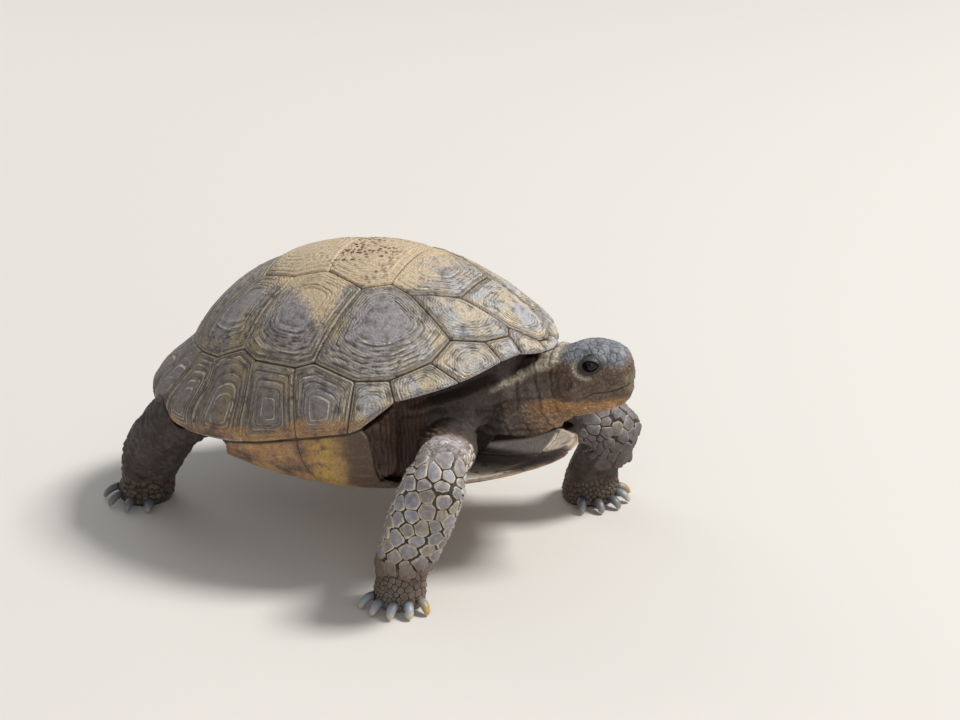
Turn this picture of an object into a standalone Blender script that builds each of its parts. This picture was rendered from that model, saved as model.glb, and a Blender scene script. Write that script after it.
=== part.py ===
"""Desert tortoise, walking: shell scutes, trunk, limbs, head and claws, in metres, +Z up, facing -Y."""

from math import atan2, cos, degrees, exp, hypot, pi, radians, sin

import bmesh
import bpy
from mathutils import Matrix, Vector

# Driving dimensions. "Forward" is -Y, the animal's left is +X.
SHELL_FRONT = 0.127       # from the shell's centre to its front
SHELL_REAR = 0.144
SHELL_HALF_WIDTH = 0.100
SHELL_TOP = 0.095         # dome height over the centre
SHELL_BOTTOM = 0.038      # plastron depth under the centre
SHELL_CENTRE_UP = 0.087   # height of the centre over the floor
SHELL_PITCH = radians(2.7)  # nose up
PLAN_POWER = 1.87
TOP_POWER = 1.81
BOTTOM_POWER = 2.9
FRONT_TAPER = -0.044      # makes the front narrower than the rear
FRONT_DROP = -0.107       # lowers the dome's front
BRIM_FRONT = 0.006        # outward flare of the free rims
BRIM_REAR = 0.022
BRIM_SPREAD = 0.14        # radians of elevation
SCUTE_THICK = 0.0050
GAP = 0.0003              # between neighbouring solids
SEAM_HALF = 0.00025
CORE_DEPTH = 0.0072       # from the plates' outer face to the core
BELLY_DEPTH = 0.0042      # more of it over the plastron
BELLY_TOP = 2.0           # elevation in degrees where that starts, and the fall over which it grows
BELLY_BLEND = 10.0
RECESS_FRONT = 0.027      # how far the skin draws back inside the openings
RECESS_REAR = 0.020
# Forward reach of the chest at elevations seen from the shell's centre: low down it stays behind the gulars.
CHEST = ((-90, 0.057), (-12, 0.057), (-3, 0.066), (6, 0.082), (15, 0.105), (24, 0.150))
CHEST_HALF_ANGLE = 52         # azimuth in degrees that it is cut back to, and the fall beyond it
CHEST_BLEND = 12
FRONT_OPENING_END = 80    # degrees of azimuth from the nose to the axillary notch
REAR_OPENING_START = 130
OPENING_MARGIN = 2.2      # degrees kept between a limb and the rims of its opening
BODY_SHIFT = -0.0186      # puts the bounding box's centre over the origin, along Y
BODY_SIDE_SHIFT = 0.0058

# Where the scutes meet on one side, as (forward, sideways) on the plan.
V1_V2_C1 = (0.055, 0.020)
V2_SIDE = (0.030, 0.036)
V2_V3_C2 = (0.016, 0.034)
V3_SIDE = (0.001, 0.043)
V3_V4_C3 = (-0.026, 0.033)
V4_SIDE = (-0.048, 0.036)
V4_V5_C4 = (-0.074, 0.026)
# The same on the lower border of the costals, as (azimuth, elevation) in degrees.
NUCHAL_TOP = (4.5, 25.5)
C1_FRONT = (12.0, 34.0)
C1_C2 = (38.7, 37.0)
C2_C3 = (99.0, 30.0)
C3_C4 = (133.0, 25.8)
C4_V5 = (157.0, 15.5)
TAIL_TOP = (172.0, 12.8)
# Marginal seams between those corners: azimuth and elevation at the top, azimuth at the rim.
MARGINAL_SEAMS = (
    (4.5, 25.5, 5.0), (14.5, 31.5, 15.0), (25.5, 32.8, 23.5), (49.6, 30.3, 41.0),
    (66.8, 25.5, 65.0), (80.4, 25.2, 82.0), (106.6, 26.8, 101.0), (125.5, 24.4, 120.0),
    (144.0, 18.5, 137.0), (154.0, 16.0, 150.0), (163.0, 14.5, 161.0), (172.0, 12.8, 171.0),
)
MARGINAL_GROUPS = (("front", 0, 4), ("bridge", 4, 7), ("rear", 7, 11))
RIM = ((0, 21), (8, 22.5), (16, 25), (24, 24.8), (41, 21.8), (65, 18), (74, 11.5), (77, 9),
       (82, 7), (100, 3.5), (115, 0), (127, -2), (140, -3), (160, -2.5), (180, -2))
LOBE = ((0, -12.5), (5, -11), (12, -11.5), (19, -14), (40, -15), (60, -16), (69, -15.5), (72.5, -13),
        (73.5, -8), (74.5, 0), (75.5, 7), (77, 9), (82, 7), (100, 3.5), (115, 0), (127, -2), (131, -9), (137, -17),
        (150, -20), (180, -22))
PLASTRON_SEAMS = (0.098, 0.045, -0.055)  # gular, front lobe, bridge, hind lobe
PLASTRON_CORNERS = (5, 18, 69, 72.5, 74.5, 77, 132)  # azimuths where its outline turns
PLASTRON_STEP = 12
PLASTRON_RINGS = 5
PLASTRON_CROWDING = 0.62                 # under 1 draws its rings out towards the edge

# Limb stations: forward, left, up, half width, half depth. The last one is the ankle.
RIGHT_FORELEG = (
    (0.050, -0.035, 0.082, 0.016, 0.016), (0.062, -0.062, 0.084, 0.0165, 0.0145),
    (0.0715, -0.084, 0.0915, 0.0150, 0.0130), (0.0755, -0.0985, 0.0965, 0.0145, 0.0125),
    (0.0740, -0.1065, 0.0850, 0.0185, 0.0140), (0.0668, -0.1095, 0.0640, 0.0200, 0.0145),
    (0.0572, -0.1075, 0.0400, 0.0182, 0.0140), (0.0505, -0.1035, 0.0240, 0.0160, 0.0135),
)
LEFT_FORELEG = (
    (0.050, 0.035, 0.080, 0.017, 0.016), (0.074, 0.046, 0.077, 0.019, 0.017),
    (0.095, 0.055, 0.0700, 0.0200, 0.0165), (0.111, 0.0620, 0.0640, 0.0205, 0.0160),
    (0.1165, 0.0700, 0.0530, 0.0205, 0.0160), (0.1090, 0.0750, 0.0370, 0.0200, 0.0155),
    (0.1000, 0.0775, 0.0235, 0.0180, 0.0145),
)
RIGHT_HINDLEG = (
    (-0.070, -0.045, 0.080, 0.020, 0.020), (-0.101, -0.054, 0.083, 0.0190, 0.0165),
    (-0.124, -0.0585, 0.0725, 0.0195, 0.0170), (-0.1405, -0.0545, 0.054, 0.0192, 0.0185),
    (-0.153, -0.0460, 0.037, 0.0195, 0.0182), (-0.1600, -0.0390, 0.0250, 0.0190, 0.0175),
)
LEFT_HINDLEG = (
    (-0.070, 0.045, 0.078, 0.020, 0.020), (-0.090, 0.062, 0.072, 0.0205, 0.0190),
    (-0.098, 0.077, 0.062, 0.0195, 0.0180), (-0.094, 0.083, 0.047, 0.0185, 0.0175),
    (-0.088, 0.085, 0.034, 0.0180, 0.0175), (-0.0850, 0.0855, 0.0250, 0.0180, 0.0175),
)
# Feet: centre forward and left, heading in degrees from forward towards the left, half width, claws.
RIGHT_FOREFOOT = (0.0470, -0.0990, -78, 0.0152, 5)
LEFT_FOREFOOT = (0.0950, 0.0785, -22, 0.0175, 5)
RIGHT_HINDFOOT = (-0.1650, -0.0345, -104, 0.0172, 4)
LEFT_HINDFOOT = (-0.0830, 0.0860, 40, 0.0170, 4)
CLAW_LONG = 0.0125
CLAW_THICK = 0.0030
CLAW_DROOP = 33
CLAW_ROOT_UP = 0.0078
CLAW_SPREAD = {5: 30, 4: 34}   # degrees between neighbours
CLAW_SIDES = 7
# Along the claw, and its share of the thickness there.
CLAW_SHAPE = ((-0.30, 1.00), (0.30, 1.00), (0.72, 0.68), (1.0, 0.24))
# Levels of a foot: height, share of its half width, shift forward.
FOOT_LEVELS = ((0.017, 0.97, 0.0010), (0.0105, 1.04, 0.0025), (0.0040, 1.02, 0.0030), (0.0, 0.84, 0.0020))

NECK = (
    (0.040, 0.0, 0.079, 0.0205, 0.0205), (0.062, 0.0, 0.0835, 0.0205, 0.0205),
    (0.080, 0.0, 0.0920, 0.0200, 0.0210), (0.093, 0.0, 0.1020, 0.0190, 0.0225),
    (0.103, 0.0, 0.1088, 0.0185, 0.0225),
)
# Head sections from the nape to the snout: forward, jaw height, crown height, half width.
HEAD = (
    (0.1110, 0.0905, 0.1350, 0.0183), (0.1160, 0.0920, 0.1380, 0.0190), (0.1220, 0.0940, 0.1408, 0.0193),
    (0.1290, 0.0962, 0.1420, 0.0184), (0.1360, 0.0985, 0.1423, 0.0163), (0.1420, 0.1010, 0.1415, 0.0140),
    (0.1475, 0.1045, 0.1390, 0.0112), (0.1508, 0.1080, 0.1348, 0.0080), (0.1526, 0.1125, 0.1290, 0.0040),
)
MOUTH_CORNER = (0.1310, 0.1135)   # forward, up
MOUTH_FRONT = (0.1535, 0.1180)
BEAK_START = 0.1385
BEAK_HIGH = 0.0085
BEAK_DEEP = 0.0070
BLOCK_REACH = 0.030       # of the block that parts the beak off
BLOCK_WIDE = 0.080
EYE_AT = (0.1315, 0.0118, 0.1315)
EYE_RADIUS = 0.0056
TAIL = (
    (-0.100, 0.004, 0.074, 0.014, 0.013), (-0.122, 0.008, 0.067, 0.0120, 0.0105),
    (-0.138, 0.013, 0.057, 0.0090, 0.0080), (-0.147, 0.019, 0.046, 0.0060, 0.0055),
    (-0.150, 0.026, 0.037, 0.0026, 0.0024),
)
LIMB_SIDES = 12
HEAD_SIDES = 16


def clear_scene():
    for thing in list(bpy.data.objects):
        bpy.data.objects.remove(thing, do_unlink=True)


def collection(name, shown=True):
    found = bpy.data.collections.new(name)
    bpy.context.scene.collection.children.link(found)
    found.hide_render = not shown
    return found


def material(name, colour, rough):
    made = bpy.data.materials.new(name)
    made.use_nodes = True
    shader = made.node_tree.nodes["Principled BSDF"]
    shader.inputs["Base Color"].default_value = (*colour, 1.0)
    shader.inputs["Roughness"].default_value = rough
    shader.inputs["Metallic"].default_value = 0.0
    return made


def place(forward, left, up):
    """A point of the walking animal, over the floor."""
    return Vector((left + BODY_SIDE_SHIFT, -forward + BODY_SHIFT, up))


def shell_to_world(p):
    """From the shell's own frame (forward, left, up about its centre) to the scene."""
    forward = p.x * cos(SHELL_PITCH) - p.z * sin(SHELL_PITCH)
    up = p.x * sin(SHELL_PITCH) + p.z * cos(SHELL_PITCH)
    return place(forward, p.y, up + SHELL_CENTRE_UP)


def direction(azimuth, elevation):
    """Unit vector in the shell's frame; azimuth runs from the nose towards the right."""
    a, e = radians(azimuth), radians(elevation)
    return Vector((cos(e) * cos(a), -cos(e) * sin(a), sin(e)))


def angles(d):
    return degrees(atan2(-d.y, d.x)), degrees(atan2(d.z, hypot(d.x, d.y)))


def dome_radius(d):
    """Distance from the shell's centre to its dome or belly along the unit vector d."""
    flat = max(hypot(d.x, d.y), 1e-9)
    ahead = d.x / flat
    length = SHELL_FRONT if d.x > 0 else SHELL_REAR
    width = SHELL_HALF_WIDTH * (1 + FRONT_TAPER * ahead)
    plan = ((abs(d.x) / length) ** PLAN_POWER + (abs(d.y) / width) ** PLAN_POWER) ** (1 / PLAN_POWER)
    high = SHELL_TOP * (1 + FRONT_DROP * d.x) if d.z > 0 else SHELL_BOTTOM
    power = TOP_POWER if d.z > 0 else BOTTOM_POWER
    return (plan ** power + (abs(d.z) / high) ** power) ** (-1 / power)


def shell_radius(d):
    """Distance to the plates' outer face: the dome, flared at its front and rear rims."""
    flat = max(hypot(d.x, d.y), 1e-9)
    ahead = d.x / flat
    brim = BRIM_FRONT if ahead > 0 else BRIM_REAR
    return dome_radius(d) + brim * ahead ** 2 * exp(-((atan2(d.z, flat) / BRIM_SPREAD) ** 2))


def along(table, x):
    """A smooth run through a table of (x, value) pairs."""
    for (x0, v0), (x1, v1) in zip(table, table[1:]):
        if x <= x1:
            t = min(max((x - x0) / (x1 - x0), 0.0), 1.0)
            return v0 + (v1 - v0) * t
    return table[-1][1]


def rim_elevation(azimuth):
    return along(RIM, abs(azimuth))


def lobe_elevation(azimuth):
    return along(LOBE, abs(azimuth))


def plan_direction(forward, side):
    """The direction in which the dome stands over a point of the plan."""
    azimuth = degrees(atan2(side, forward))
    low, high = 15.0, 90.0
    for _ in range(40):
        middle = (low + high) / 2
        d = direction(azimuth, middle)
        if shell_radius(d) * hypot(d.x, d.y) > hypot(forward, side):
            low = middle
        else:
            high = middle
    return direction(azimuth, low)


def openness(azimuth, elevation, margin=0.0):
    """1 in the middle of the front or rear opening, 0 at its edges and under the plates."""
    azimuth = abs(azimuth)
    top, bottom = rim_elevation(azimuth) - margin, lobe_elevation(azimuth) + margin
    if top - bottom < 1.0:
        return 0.0
    across = 1 - ((elevation - (top + bottom) / 2) / ((top - bottom) / 2)) ** 2
    end = max(FRONT_OPENING_END - azimuth, azimuth - REAR_OPENING_START) - margin
    return max(across, 0.0) * min(max(end / 14.0, 0.0), 1.0)


def core_radius(d):
    """The skin and bone inside the plates, drawn back in the openings."""
    azimuth, elevation = angles(d)
    recess = RECESS_FRONT if abs(azimuth) < 90 else RECESS_REAR
    below = min(max((BELLY_TOP - elevation) / BELLY_BLEND, 0.0), 1.0)
    depth = CORE_DEPTH + BELLY_DEPTH * below
    radius = dome_radius(d) - depth - recess * openness(azimuth, elevation) ** 0.5
    chest = along(CHEST, elevation) / max(d.x, 0.2)
    cut_back = min(max((CHEST_HALF_ANGLE + CHEST_BLEND - abs(azimuth)) / CHEST_BLEND, 0.0), 1.0)
    return radius - cut_back * max(radius - chest, 0.0)


def grown_core_radius(d):
    return core_radius(d) + 2 * GAP


def plates_radius(d):
    """What a limb must stay clear of round the openings, hollow where they lie."""
    inside = openness(*angles(d), margin=OPENING_MARGIN)
    return 0.5 * dome_radius(d) if inside > 0.02 else shell_radius(d) + 2 * GAP


def finish(name, bm, into, look, smooth=True):
    """A mesh object from a bmesh, normals out."""
    bmesh.ops.recalc_face_normals(bm, faces=bm.faces)
    if bm.calc_volume(signed=True) < 0:
        bmesh.ops.reverse_faces(bm, faces=bm.faces)
    mesh = bpy.data.meshes.new(name)
    bm.to_mesh(mesh)
    bm.free()
    if smooth:
        mesh.shade_smooth()
        mesh.set_sharp_from_angle(angle=radians(40))
    thing = bpy.data.objects.new(name, mesh)
    into.objects.link(thing)
    if look is not None:
        mesh.materials.append(look)
    return thing


def ball(name, radius_of, across, rings, into, look):
    """A closed star-shaped body about the shell's centre."""
    bm = bmesh.new()
    bmesh.ops.create_uvsphere(bm, u_segments=across, v_segments=rings, radius=1.0)
    for vert in bm.verts:
        d = vert.co.normalized()
        vert.co = shell_to_world(d * radius_of(d))
    bmesh.ops.triangulate(bm, faces=bm.faces[:], quad_method="FIXED")
    return finish(name, bm, into, look)


def arc(first, last, step=0.0105):
    """Directions from first towards last, without last, about step metres apart on the shell."""
    span = first.angle(last)
    count = max(1, round(span * shell_radius(first.slerp(last, 0.5)) / step))
    return [first.slerp(last, i / count) for i in range(count)]


def outline(corners):
    points = []
    for first, last in zip(corners, corners[1:] + corners[:1]):
        points += arc(first, last)
    return points


def inset(points):
    """Draws an outline on the shell in by half a seam."""
    moved = []
    surface = [d * shell_radius(d) for d in points]
    middle = sum(surface, Vector()) / len(surface)
    for i, p in enumerate(surface):
        before = (p - surface[i - 1]).normalized()
        after = (surface[(i + 1) % len(surface)] - p).normalized()
        inward = p.normalized().cross(before + after).normalized()
        if inward.dot(middle - p) < 0:
            inward.negate()
        moved.append((p + inward * SEAM_HALF).normalized())
    return moved


def scute(name, corners, into, look, rings=2):
    """A plate whose outer face follows the shell, from its corners' directions."""
    edge = inset(outline(corners))
    centre = sum((d * shell_radius(d) for d in edge), Vector()).normalized()
    bm = bmesh.new()
    faces = []
    for depth in (0.0, SCUTE_THICK):
        rows = []
        for ring in range(1, rings + 1):
            row = []
            for d in edge:
                there = centre.slerp(d, ring / rings)
                row.append(bm.verts.new(shell_to_world(there * (shell_radius(there) - depth))))
            rows.append(row)
        hub = bm.verts.new(shell_to_world(centre * (shell_radius(centre) - depth)))
        faces.append((hub, rows))
    count = len(edge)
    for hub, rows in faces:
        for i in range(count):
            j = (i + 1) % count
            bm.faces.new((hub, rows[0][i], rows[0][j]))
            for inner, outer in zip(rows, rows[1:]):
                bm.faces.new((inner[i], outer[i], outer[j], inner[j]))
    outside, inside = faces[0][1][-1], faces[1][1][-1]
    for i in range(count):
        j = (i + 1) % count
        bm.faces.new((outside[i], inside[i], inside[j], outside[j]))
    return finish(name, bm, into, look)


def mirrored(d):
    return Vector((d.x, -d.y, d.z))


def border(first, last):
    """Corners of the costals' lower border between two azimuths, marginal seams included."""
    named = [C1_FRONT, C1_C2, C2_C3, C3_C4, C4_V5, NUCHAL_TOP, TAIL_TOP]
    every = sorted(set(named + [(top, up) for top, up, _ in MARGINAL_SEAMS]))
    return [direction(*corner) for corner in every if first <= corner[0] <= last]


def vertebrals(into, look):
    """Five plates along the spine."""
    halves = {
        "vertebral_1": [direction(0, 24.5)] + border(NUCHAL_TOP[0], C1_FRONT[0]) + [plan_direction(*V1_V2_C1)],
        "vertebral_2": [plan_direction(*p) for p in (V1_V2_C1, V2_SIDE, V2_V3_C2)],
        "vertebral_3": [plan_direction(*p) for p in (V2_V3_C2, V3_SIDE, V3_V4_C3)],
        "vertebral_4": [plan_direction(*p) for p in (V3_V4_C3, V4_SIDE, V4_V5_C4)],
        "vertebral_5": [plan_direction(*V4_V5_C4)] + border(C4_V5[0], TAIL_TOP[0]) + [direction(180, 12.5)],
    }
    for name, right in halves.items():
        left = [mirrored(d) for d in reversed(right) if abs(d.y) > 1e-6]
        scute(name, right + left, into, look)


def costals(into, look):
    """Four plates down each side."""
    front = plan_direction
    rows = (
        [front(*V1_V2_C1)] + border(C1_FRONT[0], C1_C2[0]) + [front(*V2_SIDE)],
        [front(*V2_V3_C2), front(*V2_SIDE)] + border(C1_C2[0], C2_C3[0]) + [front(*V3_SIDE)],
        [front(*V3_V4_C3), front(*V3_SIDE)] + border(C2_C3[0], C3_C4[0]) + [front(*V4_SIDE)],
        [front(*V4_V5_C4), front(*V4_SIDE)] + border(C3_C4[0], C4_V5[0]),
    )
    for number, right in enumerate(rows, 1):
        scute(f"costal_right_{number}", right, into, look)
        scute(f"costal_left_{number}", [mirrored(d) for d in reversed(right)], into, look)


def rim_direction(azimuth):
    return direction(azimuth, rim_elevation(azimuth))


def marginals(into, look):
    """The rim plates in three runs a side, with the nuchal in front and the supracaudal behind."""
    for name, first, last in MARGINAL_GROUPS:
        strip(f"marginals_{name}_right", first, last, 1, into, look)
        strip(f"marginals_{name}_left", first, last, -1, into, look)
    nose, tail = MARGINAL_SEAMS[0], MARGINAL_SEAMS[-1]
    ring = [direction(0, 24.5), direction(nose[0], nose[1]), rim_direction(nose[2]), rim_direction(0)]
    scute("nuchal", ring + [mirrored(d) for d in (ring[2], ring[1])], into, look, rings=1)
    ring = [direction(180, 12.5), direction(tail[0], tail[1]), rim_direction(tail[2]), rim_direction(180)]
    scute("supracaudal", ring + [mirrored(d) for d in (ring[2], ring[1])], into, look, rings=1)


def columns(first, last):
    """Matching directions on the upper and lower borders of the marginals from one seam to another."""
    upper, lower = [], []
    for seam, next_seam in zip(MARGINAL_SEAMS[first:last], MARGINAL_SEAMS[first + 1:last + 1]):
        azimuth, _, rim = seam
        next_azimuth, _, next_rim = next_seam
        corners = border(azimuth, next_azimuth)
        for start, end in zip(corners, corners[1:]):
            for d in arc(start, end):
                share = (angles(d)[0] - azimuth) / (next_azimuth - azimuth)
                upper.append(d)
                lower.append(rim_direction(rim + share * (next_rim - rim)))
    upper.append(direction(*MARGINAL_SEAMS[last][:2]))
    lower.append(rim_direction(MARGINAL_SEAMS[last][2]))
    return upper, lower


def strip(name, first, last, side, into, look, across=2):
    """A run of rim plates between two seams."""
    top, bottom = columns(first, last)
    count = len(top) - 1
    loop = inset(top + list(reversed(bottom)))
    top, bottom = loop[:count + 1], list(reversed(loop[count + 1:]))
    bm = bmesh.new()
    grids = []
    for depth in (0.0, SCUTE_THICK):
        grid = []
        for i in range(count + 1):
            column = []
            for j in range(across + 1):
                d = top[i].slerp(bottom[i], j / across)
                d = Vector((d.x, d.y * side, d.z))
                column.append(bm.verts.new(shell_to_world(d * (shell_radius(d) - depth))))
            grid.append(column)
        grids.append(grid)
    for grid in grids:
        for i in range(count):
            for j in range(across):
                bm.faces.new((grid[i][j], grid[i + 1][j], grid[i + 1][j + 1], grid[i][j + 1]))
    edge = [(i, 0) for i in range(count)] + [(count, j) for j in range(across)]
    edge += [(i, across) for i in range(count, 0, -1)] + [(0, j) for j in range(across, 0, -1)]
    outside, inside = grids
    for (i, j), (k, m) in zip(edge, edge[1:] + edge[:1]):
        bm.faces.new((outside[i][j], inside[i][j], inside[k][m], outside[k][m]))
    return finish(name, bm, into, look)


def plastron(into, look):
    """The belly plate with its bridges, parted across the animal into four."""
    corners = {side * azimuth for azimuth in PLASTRON_CORNERS for side in (-1, 1)}
    azimuths = sorted(set(range(-180, 180, PLASTRON_STEP)) | corners)
    lap = degrees(2 * SEAM_HALF / SHELL_HALF_WIDTH)
    names = ("gular_horn", "plastron_front_lobe", "plastron_bridge", "plastron_hind_lobe")
    limits = (1.0,) + PLASTRON_SEAMS + (-1.0,)
    for name, ahead, behind in zip(names, limits, limits[1:]):
        bm = bmesh.new()
        skins = []
        for depth in (0.0, SCUTE_THICK):
            rows = []
            for azimuth in azimuths:
                top = min(lobe_elevation(azimuth), rim_elevation(azimuth) - lap)
                run = []
                for k in range(1, PLASTRON_RINGS + 1):
                    share = (k / PLASTRON_RINGS) ** PLASTRON_CROWDING
                    run.append(direction(azimuth, -90 + (top + 90) * share))
                rows.append([bm.verts.new(d * (shell_radius(d) - depth)) for d in run])
            down = Vector((0, 0, -1))
            skins.append((bm.verts.new(down * (shell_radius(down) - depth)), rows))
        count = len(azimuths)
        for hub, rows in skins:
            for i in range(count):
                j = (i + 1) % count
                bm.faces.new((hub, rows[i][0], rows[j][0]))
                for k in range(PLASTRON_RINGS - 1):
                    bm.faces.new((rows[i][k], rows[i][k + 1], rows[j][k + 1], rows[j][k]))
        outside, inside = skins[0][1], skins[1][1]
        for i in range(count):
            j = (i + 1) % count
            bm.faces.new((outside[i][-1], inside[i][-1], inside[j][-1], outside[j][-1]))
        cut_flat(bm, ahead - SEAM_HALF, 1)
        cut_flat(bm, behind + SEAM_HALF, -1)
        for vert in bm.verts:
            vert.co = shell_to_world(vert.co)
        finish(name, bm, into, look)


def cut_flat(bm, forward, sign):
    """Keeps what lies behind (sign 1) or ahead (sign -1) of a plane across the shell, and closes it."""
    parts = bm.verts[:] + bm.edges[:] + bm.faces[:]
    made = bmesh.ops.bisect_plane(
        bm, geom=parts, plane_co=(forward, 0, 0), plane_no=(sign, 0, 0), clear_outer=True, dist=1e-6
    )
    edges = [part for part in made["geom_cut"] if isinstance(part, bmesh.types.BMEdge)]
    if edges:
        bmesh.ops.edgeloop_fill(bm, edges=edges)
    bmesh.ops.triangulate(bm, faces=bm.faces[:])


def frames(points, side):
    """At each point of a path: the point, the way across it, and the way through it."""
    found = []
    for i, p in enumerate(points):
        ahead = (points[min(i + 1, len(points) - 1)] - points[max(i - 1, 0)]).normalized()
        across = (side - ahead * side.dot(ahead)).normalized()
        found.append((p, across, ahead.cross(across)))
    return found


def loft(name, rings, into, look):
    """A closed body through rings of equal count, with flat ends."""
    bm = bmesh.new()
    rows = [[bm.verts.new(p) for p in ring] for ring in rings]
    count = len(rows[0])
    for first, last in zip(rows, rows[1:]):
        for i in range(count):
            j = (i + 1) % count
            bm.faces.new((first[i], first[j], last[j], last[i]))
    bm.faces.new(rows[0])
    bm.faces.new(rows[-1])
    return finish(name, bm, into, look)


def limb_rings(stations, side, sides=LIMB_SIDES, level_end=False):
    points = [place(*station[:3]) for station in stations]
    rings = []
    for (p, across, through), station in zip(frames(points, side), stations):
        if level_end and p is points[-1]:
            across = Vector((across.x, across.y, 0)).normalized()
            through = Vector((0, 0, -1)).cross(across)
        wide, deep = station[3], station[4]
        ring = []
        for k in range(sides):
            a = 2 * pi * k / sides
            ring.append(p + across * wide * cos(a) + through * deep * sin(a))
        rings.append(ring)
    return rings


def cut(thing, cutter):
    """Boolean difference, applied at once so that its result can be cut again."""
    modifier = thing.modifiers.new("cut", "BOOLEAN")
    modifier.operation = "DIFFERENCE"
    modifier.solver = "EXACT"
    modifier.object = cutter
    settle(thing)


def spread(verts):
    """How far a set of vertices reaches, summed over the three axes."""
    return sum(max(v.co[k] for v in verts) - min(v.co[k] for v in verts) for k in range(3))


def settle(thing):
    """Applies an object's modifiers to its mesh and keeps its largest body."""
    graph = bpy.context.evaluated_depsgraph_get()
    mesh = bpy.data.meshes.new_from_object(thing.evaluated_get(graph))
    thing.modifiers.clear()
    thing.data = mesh
    bm = bmesh.new()
    bm.from_mesh(mesh)
    bmesh.ops.dissolve_degenerate(bm, dist=2e-5, edges=bm.edges[:])
    left = set(bm.verts)
    bodies = []
    while left:
        body, edge = set(), [left.pop()]
        while edge:
            vert = edge.pop()
            body.add(vert)
            for link in vert.link_edges:
                other = link.other_vert(vert)
                if other in left:
                    left.discard(other)
                    edge.append(other)
        bodies.append(body)
    bodies.sort(key=spread, reverse=True)
    for body in bodies[1:]:
        bmesh.ops.delete(bm, geom=list(body), context="VERTS")
    bmesh.ops.triangulate(bm, faces=bm.faces[:])
    bm.to_mesh(mesh)
    bm.free()


def claw(name, root, heading, droop, into, look):
    """A blunt curved nail: root point, heading in degrees, droop in degrees."""
    ahead = Vector((sin(radians(heading)), -cos(radians(heading)), 0))
    across = ahead.cross(Vector((0, 0, 1)))
    rings = []
    for along_it, thick in CLAW_SHAPE:
        bend = radians(droop) * (0.55 + 0.45 * along_it)
        centre = root + (ahead * cos(bend) - Vector((0, 0, 1)) * sin(bend)) * (along_it * CLAW_LONG)
        upward = ahead * sin(bend) + Vector((0, 0, 1)) * cos(bend)
        radius = CLAW_THICK * thick
        ring = []
        for k in range(CLAW_SIDES):
            a = 2 * pi * k / CLAW_SIDES
            ring.append(centre + across * radius * 1.05 * cos(a) + upward * radius * 0.85 * sin(a))
        rings.append(ring)
    return loft(name, rings, into, look)


def foot_rings(shape, ankle, grow=0.0):
    """Rings from the ankle down to the level sole."""
    forward, left, heading, half, _ = shape
    centre = place(forward, left, 0)
    ahead = Vector((sin(radians(heading)), -cos(radians(heading)), 0))
    across = ahead.cross(Vector((0, 0, 1)))
    hub = sum(ankle, Vector()) / len(ankle)
    rings = [[p + (p - hub).normalized() * grow - Vector((0, 0, GAP)) for p in ankle]]
    for up, reach, lead in FOOT_LEVELS:
        middle = hub.lerp(centre, min((1 - up / hub.z) * 1.15, 1.0)) + ahead * lead
        ring = []
        for p in ankle:
            angle = atan2((p - hub).dot(across), (p - hub).dot(ahead))
            out = ahead * cos(angle) + across * sin(angle)
            ring.append(Vector((middle.x, middle.y, up)) + out * (half * reach + grow))
        rings.append(ring)
    return rings


def foot(name, shape, ankle, into, skin, horn, helpers):
    """A blunt foot on a level sole, with claws along its front edge."""
    forward, left, heading, half, claws = shape
    loft(name, foot_rings(shape, ankle), into, skin)
    grown = loft(f"{name}_grown", foot_rings(shape, ankle, grow=1.5 * GAP), helpers, None)
    ahead = Vector((sin(radians(heading)), -cos(radians(heading)), 0))
    for i in range(claws):
        turn = (i - (claws - 1) / 2) * CLAW_SPREAD[claws]
        out = Matrix.Rotation(radians(turn), 3, "Z") @ ahead
        root = place(forward, left, CLAW_ROOT_UP) + ahead * 0.002 + out * half
        nail = claw(f"{name}_claw_{i + 1}", root, heading + turn * 0.75, CLAW_DROOP, into, horn)
        cut(nail, grown)


def leg(name, foot_name, stations, shape, keep_out, into, skin, horn, helpers):
    ahead = Vector((sin(radians(shape[2])), -cos(radians(shape[2])), 0))
    across = ahead.cross(Vector((0, 0, 1)))
    rings = limb_rings(stations, across, level_end=True)
    upper = loft(name, rings, into, skin)
    for cutter in keep_out:
        cut(upper, cutter)
    foot(foot_name, shape, rings[-1], into, skin, horn, helpers)


def head_ring(forward, low, high, half):
    """One section of the head, full in the cheeks and narrower at the jaw."""
    ring = []
    for k in range(HEAD_SIDES):
        a = 2 * pi * k / HEAD_SIDES
        up, side = sin(a), cos(a)
        full = abs(side) ** 0.8 * (1 if side > 0 else -1)
        pinch = 1.0 - 0.12 * max(-up, 0)
        ring.append(place(forward, full * half * pinch, (low + high) / 2 + up * (high - low) / 2))
    return ring


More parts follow.
